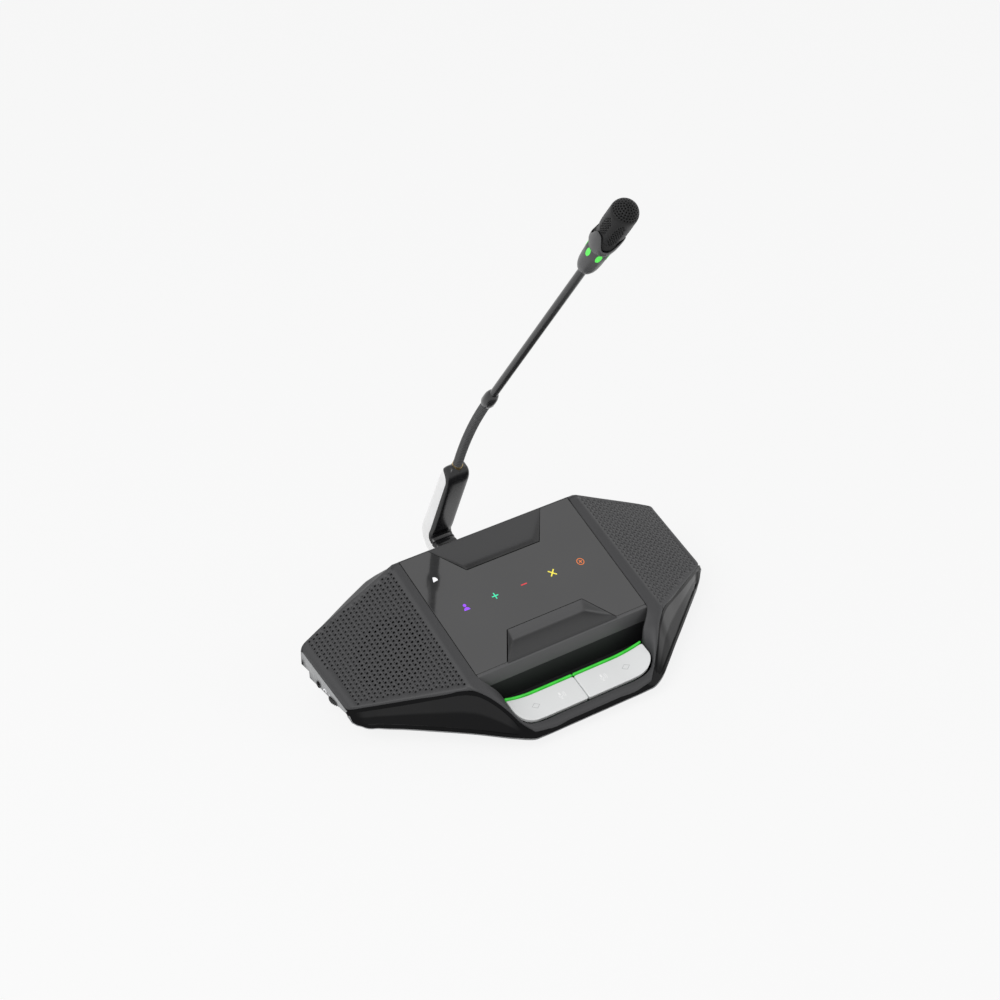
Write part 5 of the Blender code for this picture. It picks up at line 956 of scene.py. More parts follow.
def base_half():
    """Right half of the base: rim under the front face, end face with the jack's hole and the
    wheel's slot, rear wall with the socket's mouth, and a tray-like underside that recedes."""
    upper, lower, out = front_rows(90)
    rim_top = upper + (lower - upper) * np.minimum(rim_share(upper[:, 0]) + 0.004, 0.999)[:, None]
    rim = np.stack([rim_top - out * 0.5, rim_top, rim_top + (lower - rim_top) * 0.5, lower], axis=1)
    parts = [(rim.reshape(-1, 3), grid(*rim.shape[:2]))]
    # end face in the plane of y and z
    foot = np.array(END_FOOT)
    crest_y = np.linspace(1.6, -49.0, 24)
    outline = np.vstack([foot[:, 1:], np.column_stack([crest_y, end_split(crest_y) - 0.25])])
    jack = circles(np.array([JACK_SPOT]), [JACK_RADIUS], 24)
    parts.append(holed([outline], jack, lambda plan: np.column_stack([end_face_x(plan[:, 0]), plan])))
    # rear wall: a grid whose lines run along the socket's mouth
    low_x, high_x, low_z, high_z = SOCKET_MOUTH
    x = np.unique(np.concatenate([np.linspace(0, 128, 44), [low_x, high_x]]))
    x = x[(np.abs(x - low_x) > 0.8) & (np.abs(x - high_x) > 0.8) | np.isin(x, (low_x, high_x))]
    seam = rear_rows(x)[2]
    base_z = rear_foot(x)
    levels = np.array([seam[:, 2] - 0.25, np.maximum(high_z, base_z + (seam[:, 2] - base_z) * 0.5),
                       np.maximum(low_z, base_z + 0.7), base_z])
    tuck = np.array([0.0, 0.0, 0.0, 0.8])[:, None]
    wall = stacked(x, seam[:, 1] - tuck, levels)
    quads = grid(4, len(x))
    start, stop = np.searchsorted(x, (low_x - 0.01, high_x - 0.01)) + len(x) - 1
    parts.append((wall.reshape(-1, 3), quads[:start] + quads[stop:]))
    # underside: rows that step inward from the lower edge all round
    edge = np.vstack([lower, foot, wall[-1][::-1]])
    aim = edge * (0.6, 0.0, 0.0) + (0.0, *UNDER_MIDDLE[1:])
    way = (aim - edge) * (1.0, 1.0, 0.0)
    way /= np.linalg.norm(way, axis=1)[:, None]
    near = edge + way * 19.0
    floor = UNDER_MIDDLE[2] + 16.3 * np.clip((near[:, 0] - 78.0) / 51.5, 0, 1)
    near[:, 2] = np.minimum(floor, edge[:, 2] - 3.0)
    under = np.array([edge, edge + way * 1.2 - UP * 0.5, edge + way * 4.0 - UP * 1.2, near, aim,
                      np.tile(UNDER_MIDDLE, (len(edge), 1))])
    parts.append((under.reshape(-1, 3), grid(*under.shape[:2])))
    return joined(*parts)


def make_base():
    """The base with its wall, and small white printed signs beside the jack and the wheel, which glow with
    the back-lit ink: painted light.
    """
    half = base_half()
    piece("base_shell", *joined(half, flipped(half)), BASE, replaces=("base_pan",), slot="base", angle=32,
          up=-UP, wall=BASE_WALL)
    band = ring_part(1.3, 0.2, 0.15 * math.pi, 0.85 * math.pi)
    cup = soft_outline(oblong(0.35, 0.6), 0.2, 3)
    wedge = np.array([(-1.6, -0.5), (1.6, -0.5), (1.6, 0.9)])
    for side, name in SIDES:
        signs = []
        for outline, at in ((band, HEADPHONE_SIGN), (cup + (-1.3, 0.2), HEADPHONE_SIGN),
                            (cup + (1.3, 0.2), HEADPHONE_SIGN), (wedge, WEDGE_SIGN)):
            plan = outline + at
            x = end_face_x(plan[:, 0])
            points, faces = tube(stacked([x - 0.1, x + 0.05], plan[:, 0], plan[:, 1]))
            signs.append((points * (side, 1, 1), faces))
        # the printed signs glow with the back-lit white ink: painted light
        piece(f"end_signs_painted_glow_{name}", *joined(*signs), INK["white"], slot="base")
        throat = spun([(-3.0, 0.5), (-3.0, 1.55), (0.08, 1.57), (0.08, 1.42), (-2.4, 1.42), (-2.5, 0.5)],
                      24, (side * 129.22, *JACK_SPOT), (side, 0, 0))
        piece(f"jack_throat_{name}", *tube(throat), HOLLOW, slot="jack")


# ---------------------------------------------------------------- glass, its symbols and the bays
SYMBOL_PITCH, SYMBOL_ROW = 20.7, -44.2
GLASS_THICKNESS = 1.7
GLASS_BEVEL = 0.25
TRAY_THICKNESS = 1.4
BAY_SOFTNESS, BAY_SUNK = 0.35, -0.12


def symbol(name, outlines, centre, ink, lift=0.04):
    """Thin back-lit shapes on the glass, given round their own middle."""
    bodies = []
    for outline in outlines:
        outline = np.asarray(outline, float) + np.asarray(centre, float)
        points, faces = plate(outline, 0.0, lift)
        bodies.append((on_panel(points), faces))
    piece(name, *joined(*bodies), INK[ink], slot="panel", angle=30)


def cross_outline(arm, half, angle=0.0):
    """Upright cross with arms of a length and half width, turned by an angle."""
    quarter = np.array([(half, half), (half, arm), (-half, arm)])
    turned = [np.column_stack([quarter @ (math.cos(a), -math.sin(a)), quarter @ (math.sin(a), math.cos(a))])
              for a in angle + np.arange(4) * math.pi / 2]
    return np.vstack(turned)


def bay(name, rear, front, floor, wall, depth, steep, painted_light_and_shade):
    """Nameplate bay: a field of heights over a trapezium from rear to front (each half width and
    place along the glass). The floor slopes from flush to deep, and bevelled walls rise to the rim;
    the highest of them counts, with a soft corner between them. painted_light_and_shade holds the
    mesh's own tone values on the floor, the cross wall and the side walls: painted shade where they
    are low and painted light where they are high."""
    v = np.linspace(rear[1], front[1], 46)[:, None]
    share = np.linspace(-1, 1, 80)[None, :]
    half = rear[0] + (front[0] - rear[0]) * (v - rear[1]) / (front[1] - rear[1])
    x = half * share
    level = -depth * (v - floor[0]) / (floor[1] - floor[0]) + 0 * x
    cross_wall = -depth * (v - wall[0]) / (wall[1] - wall[0]) + 0 * x
    slant = math.cos(math.atan2(abs(front[0] - rear[0]), front[1] - rear[1]))
    side_wall = -steep * (half - np.abs(x)) * slant
    parts = np.exp(np.stack([level, cross_wall, side_wall]) / BAY_SOFTNESS)
    # painted light and shade of each point, blended from the floor's and the walls' values
    tone = np.tensordot(painted_light_and_shade, parts / parts.sum(axis=0), 1).ravel()
    heights = np.minimum(BAY_SOFTNESS * np.log(parts.sum(axis=0)), BAY_SUNK)
    top = stacked(x, -v, heights)
    points, faces = slab(top, top - TRAY_THICKNESS * UP)
    piece(name, on_panel(points), faces, TRAY_PAINTED_SHADE, replaces=("panel_tray",), slot="tray", angle=50,
          own={"tone": np.tile(tone, 2)})


def make_fascia():
    """Strip under the front edge of the glass: one section drawn along the width."""
    section = soft_outline([(-81.0, 40.45), (-82.9, 39.75), (-83.5, 30.2), (-82.2, 29.6), (-80.6, 31.0)],
                           [0.3, 0.5, 0.5, 0.3, 0.3], 5)
    x = np.concatenate([[-60.9, -60.7], np.linspace(-60, 60, 41), [60.7, 60.9]])
    close = np.where(np.abs(x) > 60.8, 0.9, 1.0)
    middle = section.mean(axis=0)
    y, z = np.moveaxis(middle + (section - middle) * close[:, None, None], -1, 0)
    piece("fascia_strip", *tube(stacked(x[:, None], y, z)), FASCIA, replaces=("panel_tray",),
          slot="tray", angle=40)


def make_panel():
    """Glass plate with its two notches, and the symbols that shine through it."""
    corners = [(61, 0.2), (40.6, 0.2), (26.5, -21.1), (-26.5, -21.1), (-40.6, 0.2), (-61, 0.2),
               (-61, -87.0), (-39.4, -87.0), (-27.1, -67.5), (27.1, -67.5), (39.4, -87.0), (61, -87.0)]
    outline = soft_outline(corners, [0.8, 0.5, 0.7, 0.7, 0.5, 0.8, 0.8, 0.5, 0.7, 0.7, 0.5, 0.8], 4)
    points, faces = plate(outline, -GLASS_THICKNESS, 0.0, GLASS_BEVEL)
    piece("glass_panel", on_panel(points), faces, GLASS, replaces=("touch_panel",), slot="panel", angle=30)
    # last numbers: painted light and shade on the floor, the cross wall and the side walls
    bay("rear_bay", (40.5, -0.2), (26.2, 20.7), (0.4, 16.0), (20.9, 15.9), 2.9, 0.75, (0.43, 0.05, 0.2))
    bay("front_bay", (26.8, 67.9), (39.3, 88.0), (86.8, 73.2), (67.7, 73.4), 4.4, 1.15, (0.22, 0.9, 0.3))
    make_fascia()
    row = SYMBOL_ROW
    head = spokes(around(24)) * 1.05 + (0, 1.6)
    shoulders = spokes(np.linspace(math.pi, 0, 14)) * 2.0 - (0, 1.9)
    symbol("symbol_person", [head, shoulders], (-2 * SYMBOL_PITCH, row), "purple")
    symbol("symbol_plus", [cross_outline(2.2, 0.38)], (-SYMBOL_PITCH, row), "green")
    symbol("symbol_minus", [soft_outline(oblong(2.1, 0.38), 0.15)], (0, row), "red")
    symbol("symbol_cross", [cross_outline(2.9, 0.40, math.radians(45))], (SYMBOL_PITCH, row), "yellow")
    rings = [ring_part(2.25, 0.25, start, start + math.pi, 20) for start in (0, math.pi)]
    symbol("symbol_disc", rings + [cross_outline(1.2, 0.3, math.radians(20))], (2 * SYMBOL_PITCH, row),
           "orange")
    leaf = soft_outline([(-1.7, -1.5), (2.0, -1.1), (1.5, 1.2), (-0.4, 1.9)], [0.3, 0.6, 0.9, 0.6])
    symbol("symbol_small", [leaf], (-48.1, -19.2), "white")


# ---------------------------------------------------------------- keys and light strips
KEY_LENGTH, KEY_END, KEY_FLAT, KEY_LIFT = 17.1, 49.2, 28.0, 4.6
KEY_THICKNESS, KEY_EDGE, KEY_CROWN = 2.6, 0.5, 0.15
KEY_DIAMOND, KEY_SIGN = (32.5, -8.4), (15.0, -8.4)


def key_rise(x):
    """Rise of the key surface: flat in the middle, then a parabola to the end."""
    share = np.clip((np.abs(x) - KEY_FLAT) / (KEY_END - KEY_FLAT), 0, None)
    return KEY_LIFT * share * share


def key_top(x, y):
    """Height of the key's surface: its rise and a slight crown from front to back."""
    return key_rise(x) + KEY_CROWN * np.sin(np.clip(-y / KEY_LENGTH, 0, 1) * math.pi)


def key_outline(side):
    """Key's outline in its own plane: soft corners, and points no more than 3 mm apart."""
    corners = [(0.32, 0.0), (0.32, -KEY_LENGTH), (38.4, -KEY_LENGTH), (43.5, -15.7), (47.0, -13.0),
               (KEY_END, -9.2), (KEY_END, 0.0)]
    outline = soft_outline(corners, [1.3, 1.3, 2.0, 2.0, 2.0, 2.0, 1.6], 5)
    spaced = []
    for first, second in zip(outline, np.roll(outline, -1, axis=0)):
        count = max(1, int(np.linalg.norm(second - first) / 1.5))
        spaced.append(first + (second - first) * np.linspace(0, 1, count, endpoint=False)[:, None])
    return np.vstack(spaced) * (side, 1)


def make_keys():
    """Talk keys: crowned silver bars with soft edges, each with a small inlaid symbol and a diamond."""
    for side, name in SIDES:
        points, faces = lid(key_outline(side), key_top, KEY_THICKNESS, KEY_EDGE, 10)
        body = f"talk_key_{name}_body"
        piece(f"key_bar_{name}", on_keys(points), faces, KEY, body, (f"talk_key_{name}",), "key", 40)
        lozenge = np.array([(2.9, 0), (0, 2.0), (-2.9, 0), (0, -2.0)])
        loops = []
        for share, rise in ((1.0, 0.19), (0.84, 0.19), (0.84, 0.02), (1.0, 0.02)):
            plan = lozenge * share + KEY_DIAMOND * np.array([side, 1])
            loops.append(on_keys(np.column_stack([plan, key_rise(plan[:, 0]) + rise])))
        section = np.moveaxis(loops, 0, 1)
        piece(f"key_diamond_{name}", section.reshape(-1, 3), closed_grid(4, 4), KEY_LINE, body, slot="key")
        mark = []
        for outline in (soft_outline(oblong(0.6, 1.1, (0, 1.1)), 0.6),
                        ring_part(1.25, 0.15, -0.95 * math.pi, -0.05 * math.pi),
                        soft_outline(oblong(0.15, 0.55, (0, -1.75)), 0.05),
                        soft_outline(oblong(0.8, 0.15, (0, -2.45)), 0.05),
                        ring_part(2.2, 0.16, -0.6, 0.6), ring_part(3.3, 0.16, -0.6, 0.6)):
            flat, flat_faces = plate(outline + KEY_SIGN * np.array([side, 1]), 0.10, 0.20)
            mark.append((on_keys(flat), flat_faces))
        piece(f"key_symbol_{name}", *joined(*mark), KEY_MARK, body, slot="key")


def make_strips():
    """Lit strips along the keys' rear edges: rounded bars that follow the keys' rise."""
    for side, name in SIDES:
        x = np.concatenate([[0.3, 0.5], np.linspace(1.2, 48.6, 60), [49.0, KEY_END]])[:, None]
        step = np.arange(len(x))[:, None]
        close = np.minimum(1, np.minimum(step, step[::-1]) * 0.4 + 0.3)
        along, height = (squircle(around(16), 0.6) * (0.70, 1.3)).T
        points, faces = tube(stacked(side * x, 1.25 + along * close, key_rise(x) - 0.9 + height * close))
        piece(f"strip_{name}", on_keys(points), faces, STRIP, replaces=(f"light_strip_{name}",),
              slot="strip", angle=50)


WHEEL_TEETH, WHEEL_INSET = 40, 0.55
FOOT_CHORD = 2.95
FOOT_BACK = (0.669, 0.743)  # square to the front face's run over the front feet
FOOT_TRIM = 0.05


def make_wheels():
    """Knurled thumb wheels: the radius of each ring rises and falls forty times round."""
    turn = around(240)
    knurl = 0.28 * np.clip(1.6 * np.sin(WHEEL_TEETH * turn), -1, 1)
    for _, name in SIDES:
        low, high = (unplace(corner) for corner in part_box(f"volume_wheel_{name}"))
        middle, (radius, _, half_high) = (low + high) / 2, (high - low) / 2
        rings = []
        for share, inset in ((-1.0, 3.0), (-1.0, 0.55), (-0.72, 0.3), (0.72, 0.3), (1.0, 0.55), (1.0, 3.0)):
            reach = radius - WHEEL_INSET - inset + (knurl if inset < 1 else 0)
            rings.append(middle + np.column_stack([spokes(turn) * np.reshape(reach, (-1, 1)),
                                                   np.full(len(turn), share * half_high)]))
        piece(f"thumb_wheel_{name}", *tube(np.array(rings)), WHEEL, f"volume_wheel_{name}_body",
              (f"volume_wheel_{name}",), "wheel", 30)


def make_feet():
    """Front feet: the part of a round pad behind a chord, with a rounded rim. The rear feet are
    round."""
    for number in range(1, 5):
        low, high = (unplace(corner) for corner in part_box(f"foot_{number}"))
        middle, radius = (low + high) / 2, (high[0] - low[0]) / 2 - FOOT_TRIM
        rim = spokes(around(48)) * radius
        if middle[1] < UNDER_MIDDLE[1]:
            back = FOOT_BACK * np.array([-np.sign(middle[0]), 1])
            rim = rim + np.maximum(FOOT_CHORD - rim @ back, 0)[:, None] * back
            rim *= np.minimum(1, radius / np.linalg.norm(rim, axis=1))[:, None]
        core = rim.mean(axis=0)
        rings = [np.column_stack([middle[:2] + core + (rim - core) * share, np.full(len(rim), z)])
                 for z, share in ((high[2], 0.97), (low[2] + 0.35, 1.0), (low[2] + 0.1, 0.97), (low[2], 0.9))]
        piece(f"foot_pad_{number}", *tube(np.array(rings)), RUBBER, replaces=(f"foot_{number}",),
              slot="foot", angle=45)


# ---------------------------------------------------------------- arm
ARM = np.array([  # x, y, z and half thickness along the middle line of the arm
    (0, 10, 31.6, 5.4), (0, 24, 31.6, 5.4), (0, 35, 31.6, 5.5), (0, 43.6, 32.0, 5.8), (0, 50.4, 34.0, 6.2),
    (0, 54.2, 38.2, 6.3), (0, 54.6, 43.4, 6.3), (0, 52.0, 49.4, 6.2), (0, 46.4, 62.6, 6.0),
    (0, 39.4, 79.0, 5.8), (0, 32.9, 94.2, 5.6), (0, 30.3, 100.4, 5.5), (0, 29.3, 102.8, 5.4)])
ARM_HALF = 8.0
ARM_ROUND = 0.90  # share of the arm's length from which its end is rounded
RIDGES = ((0.335, 0.008, 0.7), (0.300, 0.010, 0.5), (0.265, 0.010, 0.5))  # place, width and height


def arm_rings(shares, outer, inner_level=None):
    """Sections of the arm: a rounded oblong of the fourth power square to the middle line. With an
    inner level the section is cut off that far behind its front."""
    rows = follow(ARM, shares)
    run = np.gradient(rows[:, 1:3], axis=0)
    run /= np.linalg.norm(run, axis=1)[:, None]
    out = np.column_stack([-run[:, 1], run[:, 0]])
    half = rows[:, 3] + outer
    past = np.clip((shares - ARM_ROUND) / (1 - ARM_ROUND), 0, 0.999)
    close = np.sqrt(np.clip(1 - past**2, 0.02, 1))[:, None]
    across, level = squircle(around(56), 0.42).T
    level = level * half[:, None]
    if inner_level is not None:
        level = np.maximum(level, (half - inner_level)[:, None])
    level = level * close
    rings = stacked(across * (ARM_HALF + outer) * close**0.5,
                    rows[:, 1:2] + out[:, :1] * level, rows[:, 2:3] + out[:, 1:] * level)
    return rings, out


def make_arm():
    """Pearl shell of the arm; dark front cover that runs over the top, with ridges at its foot."""
    rings, _ = arm_rings(np.linspace(0.0, 0.965, 80), 0.0)
    piece("arm_body", *tube(rings), PEARL, replaces=("arm_shell",), slot="arm_pearl", angle=40)
    shares = np.unique(np.concatenate([np.linspace(0.0, 0.93, 130), np.linspace(0.93, 1.0, 26)]))
    inner = 2.6 + 9.2 * (1 - np.sqrt(1 - np.clip((shares - ARM_ROUND) / 0.055, 0, 1)**2))
    rings, out = arm_rings(shares, 0.28, inner)
    lift = sum(high * np.exp(-((shares - at) / wide)**4) for at, wide, high in RIDGES)
    rings[:, :, 1:] += (out * lift[:, None])[:, None]
    piece("arm_front", *tube(rings), ARM_DARK, replaces=("arm_cover",), slot="arm_dark", angle=35)


# ---------------------------------------------------------------- microphone
NECK_JOINTS = [unplace(joint["pos_m"]) for joint in sorted(
    (joint for joint in frame["joints"] if joint["name"].startswith("neck_")),
    key=lambda joint: joint["name"].split("_")[-1])]
NECK_BODIES = ["housing"] + [f"neck_{k}" for k in range(1, 7)] + ["microphone"]
NECK_RADIUS, NECK_RIB, NECK_PITCH, NECK_SIDES = 2.72, 0.32, 1.6, 24
STEM_LEAN = math.radians(35.3)
STEM_WAY = np.array([0.0, -math.sin(STEM_LEAN), math.cos(STEM_LEAN)])


def make_neck():
    """Ribbed sleeve of the neck in seven lengths, each bending over one joint from mid link to mid
    link: radius is a mean plus a small sine along the path."""
    links = list(zip(NECK_JOINTS, NECK_JOINTS[1:]))
    ways = [(b - a) / np.linalg.norm(b - a) for a, b in links]
    start_way = ways[0] - (ways[1] - ways[0]) * 0.5
    ends = [(NECK_JOINTS[0] - start_way * 0.6, start_way),
            *(((a + b) / 2, way) for (a, b), way in zip(links, ways)),
            (NECK_JOINTS[-1] + STEM_WAY * 0.8, STEM_WAY)]
    travelled = 0.0
    for index, ((low, low_way), (high, high_way)) in enumerate(zip(ends, ends[1:])):
        length = np.linalg.norm(high - low)
        count = max(12, int(length / 0.27))
        t = np.linspace(0, 1, count)[:, None]
        line = hermite(t, low, high, length * low_way, length * high_way)
        run = np.gradient(line, axis=0)
        run /= np.linalg.norm(run, axis=1)[:, None]
        wave = np.sin((travelled + t[:, 0] * length) * 2 * math.pi / NECK_PITCH)
        travelled += length
        across = np.array([1.0, 0.0, 0.0])
        other = np.cross(run, across)[:, None]
        turn = around(NECK_SIDES)[None, :, None]
        radius = (NECK_RADIUS + NECK_RIB * wave)[:, None, None]
        rings = line[:, None] + radius * (np.cos(turn) * across + np.sin(turn) * other)
        # ridge value for the painted shade in the grooves and the painted highlight on the crests
        ridge = np.concatenate([np.repeat(0.5 + 0.5 * wave, NECK_SIDES), [0.0, 0.0]])
        thing = piece(f"neck_sleeve_{index + 1}", *tube(rings), NECK, slot="neck", angle=75, ride=False,
                      own={"ridge": ridge}, replaces=(f"neck_link_{min(index + 1, 6)}",))
        NECK_BODIES[index + 1]
        tuple(place(low))
        tuple(place(high))
        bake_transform(thing)


HEAD = 160.0  # distance from the last joint to the microphone's body
BODY_RADIUS = 6.55
STEM_RADIUS = 2.52


def stem_turned(name, profile, finish, sides=40, replaces=(), slot="mic", angle=40):
    """Turned piece on the microphone's axis, rows of distance from the last joint and radius."""
    rings = spun(profile, sides, NECK_JOINTS[-1], STEM_WAY)
    return piece(name, *tube(rings), finish, "microphone", replaces, slot, angle)


CUP_LOW, CUP_TOP, SCOOP = HEAD + 24.5, HEAD + 40.8, 10.2
DOME_AT, DOME_RADIUS = HEAD + 57.3, 7.8
QUARTER = DOME_RADIUS * math.pi / 2  # from the tip to the rim of the dome, along the surface
LOBES = 3
SCREEN_HOLE = 0.50
SCREEN_WALL = 0.5


def mic_point(s, radius, turn):
    """Points at a distance along the microphone's axis, a radius and an angle round it."""
    s, radius, turn = np.broadcast_arrays(s, radius, turn)
    across, other = np.array([1.0, 0, 0]), np.cross(STEM_WAY, np.array([1.0, 0, 0]))
    return (NECK_JOINTS[-1] + s[..., None] * STEM_WAY + radius[..., None]
            * (np.cos(turn)[..., None] * across + np.sin(turn)[..., None] * other))


def cup_edge(turn):
    """Upper edge of the cup: rounded tongues with U-shaped scoops between them."""
    wave = 0.5 - 0.5 * np.cos(LOBES * (turn - math.pi))
    return CUP_TOP - SCOOP * (1 - (1 - wave)**1.6)**1.6


def screen_point(plan):
    """Wind screen from its unrolled plan: distance from the tip along the surface, and angle."""
    along, turn = np.hypot(*plan.T), np.arctan2(plan[:, 1], plan[:, 0])
    dome = along < QUARTER
    angle = np.where(dome, along / DOME_RADIUS, math.pi / 2)
    s = np.where(dome, DOME_AT + DOME_RADIUS * np.cos(angle), DOME_AT - (along - QUARTER))
    radius = DOME_RADIUS * np.sin(angle)
    radius = np.where(dome, radius, DOME_RADIUS - 0.5 * np.clip((along - 24) / 6, 0, 1)**2)
    return mic_point(s, radius, turn)


def screen_holes():
    """Hole centres of the wind screen as distance from the tip and angle: six patches on its side,
    longer over the scoops, and rings of holes on the dome."""
    found = []
    for patch in range(2 * LOBES):
        deep = 21.5 if patch % 2 == 0 else 15.5
        for row, down in enumerate(np.arange(1.6, deep, 1.2)):
            taper = 2.6 * math.sin(math.pi * min(max((down - 0.4) / (deep + 0.9), 0.06), 0.94))**0.5
            for column in range(-2, 3):
                across = (column + 0.5 * (row % 2)) * 1.42
                if abs(across) < taper:
                    found.append((QUARTER + down, patch * math.pi / LOBES + across / DOME_RADIUS))
    for ring in range(7):
        along = ring * 1.5
        radius = DOME_RADIUS * math.sin(along / DOME_RADIUS)
        count = max(1, int(2 * math.pi * radius / 1.55))
        found += [(along, 2 * math.pi * (k + 0.5 * (ring % 2)) / count) for k in range(count)]
    return np.array(found)


def make_screen():
    """Perforated wind screen over a dark hollow."""
    holes = screen_holes()
    turn = around(8)
    ring_radius = DOME_RADIUS * np.sin(np.minimum(holes[:, 0] / DOME_RADIUS, math.pi / 2))
    along = holes[:, 0][:, None] + SCREEN_HOLE * np.cos(turn)[None, :]
    centre = holes[:, 0][:, None] < 0.1
    angle = holes[:, 1][:, None] + np.where(centre, turn[None, :], SCREEN_HOLE * np.sin(turn)[None, :]
                                            / np.maximum(ring_radius, 0.5)[:, None])
    along = np.where(centre, SCREEN_HOLE, along)
    rings = np.stack([along * np.cos(angle), along * np.sin(angle)], axis=-1)
    # points between the holes, clear of them and thinned out near the tip
    last = QUARTER + 27.0
    down, about = (values.ravel() for values in np.meshgrid(np.arange(1.0, last - 0.5, 1.2), around(72)))
    width = DOME_RADIUS * np.sin(np.minimum(down / DOME_RADIUS, math.pi / 2))
    apart = (about[:, None] - holes[None, :, 1] + math.pi) % (2 * math.pi) - math.pi
    clear = np.hypot(apart * width[:, None], down[:, None] - holes[None, :, 0]).min(axis=1) > 0.85
    thin = (down > 6) | (np.arange(len(down)) % 3 == 0)
    filler = (spokes(about) * down[:, None])[clear & thin]
    points, faces = holed([spokes(around(96)) * last], rings, screen_point, filler)
    piece("wind_screen", points, faces, SCREEN, "microphone", ("windscreen",), "screen", 60,
          up=STEM_WAY, wall=SCREEN_WALL)
    dome = [(DOME_AT + (DOME_RADIUS - 1.0) * math.sin(a), (DOME_RADIUS - 1.0) * math.cos(a))
            for a in np.linspace(0, math.pi / 2 * 0.97, 10)]
    stem_turned("screen_lining", [(HEAD + 28.0, 5.8), (HEAD + 28.3, 6.6), *dome], HOLLOW,
                slot="screen", angle=60)


def make_cup():
    """Grey cup with tongues, a dark seat behind its scoops, and the lit windows below it."""
    turn = around(144)
    share, radius = np.array([  # share of the cup's height, and radius: up the outside, down the inside
        (0.0, 6.75), (0.04, 6.9), (0.15, 7.3), (0.35, 7.85), (0.6, 8.2), (0.85, 8.35), (0.96, 8.3),
        (1.0, 8.15), (1.0, 7.95), (0.6, 7.6), (0.1, 6.5)]).T[:, :, None]
    rings = mic_point(CUP_LOW + (cup_edge(turn) - CUP_LOW) * share, radius, turn)
    piece("cup", *tube(rings), MIC, "microphone", ("mic_cup",), "mic", 40)
    stem_turned("cup_seat", [(CUP_LOW + 1.0, 6.0), (CUP_LOW + 1.3, 6.9), (CUP_LOW + 9, 7.45),
                             (CUP_LOW + 12, 7.5), (CUP_LOW + 12.2, 7.0)], HOLLOW, 48, angle=60)
    windows = []
    share = np.linspace(0, 1, 16)[:, None]
    half = 1.5 * np.clip(np.sin(math.pi * (0.08 + 0.80 * share)), 0, 1)**0.6
    s = HEAD + 18.2 + 6.4 * share
    radius = BODY_RADIUS + 0.03 * (s - HEAD - 18)
    for k in range(2 * LOBES):
        turn = k * math.pi / LOBES + half * np.linspace(-1, 1, 9)[None, :] / BODY_RADIUS
        windows.append(slab(mic_point(s, radius + 0.12, turn), mic_point(s, radius - 0.5, turn)))
    piece("mic_windows", *joined(*windows), MIC_LIGHT, "microphone", ("mic_light_ring",), "strip", 50)


def make_microphone():
    """Collar, tube, bullet body with its light windows, cup with tongues, and wind screen."""
    stem_turned("collar", [(0.0, 2.7), (0.2, 3.1), (1.0, 3.7), (2.6, 4.05), (3.0, 4.2), (6.5, 4.25),
                           (9.6, 4.1), (11.8, 3.6), (13.2, 3.1), (13.8, 2.6)],
                STEM, replaces=("neck_collar",), slot="neck")
    stem_turned("stem", [(s, STEM_RADIUS) for s in (3.3, 60, HEAD - 0.2)],
                STEM, replaces=("stem_tube",), slot="neck")
    stem_turned("head_body", [(HEAD, 2.7), (HEAD + 0.6, 3.5), (HEAD + 2.0, 4.5), (HEAD + 4.5, 5.4),
                              (HEAD + 7.5, 6.0), (HEAD + 12, 6.35), (HEAD + 18, BODY_RADIUS),
                              (HEAD + 24.6, BODY_RADIUS + 0.2), (HEAD + 24.9, 6.3)],
                MIC, 56, ("mic_body",), angle=60)
    make_cup()
    make_screen()


# ---------------------------------------------------------------- everything
make_cover()
make_front()
make_base()
make_panel()
make_keys()
make_strips()
make_wheels()
make_feet()
make_arm()
make_neck()
make_microphone()


def pairs(*names):
    """Left and right nodes of each name."""
    return [f"{name}_{side}" for name in names for side in ("left", "right")]


dress(WELL, "key_well")
dress(BOARD, "main_board", "key_board", "rear_board", *pairs("side_board"))
dress(DOME, *pairs("key_dome"))
dress(ROD, "key_hinge_rod")
dress(CLOTH, *pairs("speaker_cloth"))
dress(BASKET, *pairs("speaker_basket"), "mic_capsule")
dress(CONE, *pairs("speaker_cone"))
dress(JACK, *pairs("headphone_jack"))
dress(ENCODER, *pairs("volume_encoder"))
dress(SHIELD, *pairs("network_socket"))
dress(STEEL, *(f"case_screw_{k}" for k in range(1, 5)), *pairs("arm_screw"))
dress(ARM_DARK, "mic_socket")
dress(BRASS, "neck_plug")

# ---------------------------------------------------------------- studio
CAMERA_PLACE = np.array([-0.6629, -0.9892 + SHIFT, 0.8962])  # metres
YAW, PITCH = math.radians(-34.26), math.radians(33.23)


LENS, SENSOR, SHIFT_UP = 86.4, 36.0, -0.0315
SKY_LIGHT = 0.55  # strength of the world for light; seen directly or mirrored it is 1
FLOOR_REACH = 4.0


def make_camera():
    """Camera of the photograph, from its solved place, heading and focal length."""
    camera = bpy.data.objects.new("camera", bpy.data.cameras.new("camera"))
    bpy.context.scene.collection.objects.link(camera)
    right = np.array([math.cos(YAW), math.sin(YAW), 0.0])
    ahead = np.array([-math.sin(YAW) * math.cos(PITCH), math.cos(YAW) * math.cos(PITCH), -math.sin(PITCH)])
    up = np.cross(right, ahead)
    turn = Matrix(np.column_stack([right, up, -ahead]).tolist()).to_4x4()
    camera.matrix_world = Matrix.Translation(CAMERA_PLACE.tolist()) @ turn
    camera.data.sensor_width, camera.data.lens, camera.data.shift_y = SENSOR, LENS, SHIFT_UP
    bpy.context.scene.camera = camera


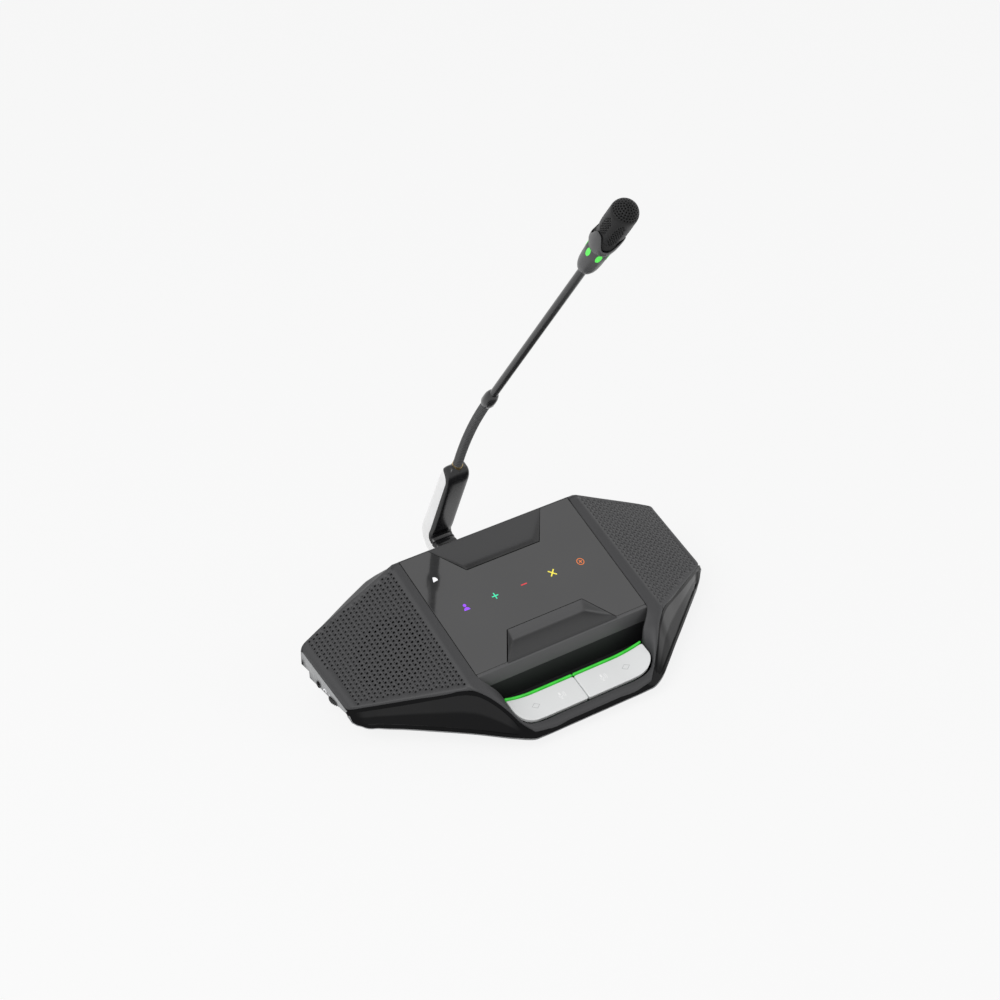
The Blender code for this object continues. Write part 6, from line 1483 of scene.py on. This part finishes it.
def lamp(name, place_at, aim, size, power):
    """Soft square lamp that faces a point."""
    light = bpy.data.objects.new(name, bpy.data.lights.new(name, "AREA"))
    light.data.size, light.data.energy = size, power
    light.location = place_at
    light.rotation_euler = (Vector(aim) - Vector(place_at)).to_track_quat("-Z", "Y").to_euler()
    bpy.context.scene.collection.objects.link(light)


def make_studio():
    """Pale floor, even pale world and soft lamps."""
    floor = bpy.data.meshes.new("floor")
    corners = np.column_stack([oblong(FLOOR_REACH, FLOOR_REACH), np.zeros(4)])
    floor.from_pydata(corners.tolist(), [], [(0, 1, 2, 3)])
    thing = bpy.data.objects.new("floor", floor)
    bpy.context.scene.collection.objects.link(thing)
    finish = Finish("floor_paper")
    finish.set(Base_Color=finish.blend(finish.noise(3.0, 2.0), (0.80, 0.80, 0.80), (0.82, 0.82, 0.82)),
               Roughness=0.9)
    path = finish.node("ShaderNodeLightPath")
    seen = path.out("Is Camera Ray").high(path.out("Is Glossy Ray")).high(path.out("Is Transmission Ray"))
    glow = finish.node("ShaderNodeEmission", None, {"Color": (0.985, 0.985, 0.985), "Strength": 1.0})
    mix = finish.node("ShaderNodeMixShader", None, {0: seen * 0.86}).thing
    output = finish.nodes["Material Output"]
    finish.links.new(finish.shader.outputs[0], mix.inputs[1])
    finish.links.new(glow.thing.outputs[0], mix.inputs[2])
    finish.links.new(mix.outputs[0], output.inputs[0])
    floor.materials.append(finish.material)
    world = bpy.data.worlds.new("studio")
    bpy.context.scene.world = world
    sky = Finish("studio", world, "Background")
    path = sky.node("ShaderNodeLightPath")
    seen = path.out("Is Camera Ray").high(path.out("Is Glossy Ray"))
    sky.set(Color=(0.93, 0.93, 0.93), Strength=seen * (1 - SKY_LIGHT) + SKY_LIGHT)
    lamp("lamp_left", (-1.3, -0.5, 1.5), (0, 0, 0.05), 1.2, 19.0)
    lamp("lamp_right", (1.5, -1.1, 1.1), (0, 0, 0.05), 1.0, 5.0)
    bpy.context.scene.view_settings.view_transform = "Standard"


make_camera()
make_studio()
bpy.context.view_layer.update()
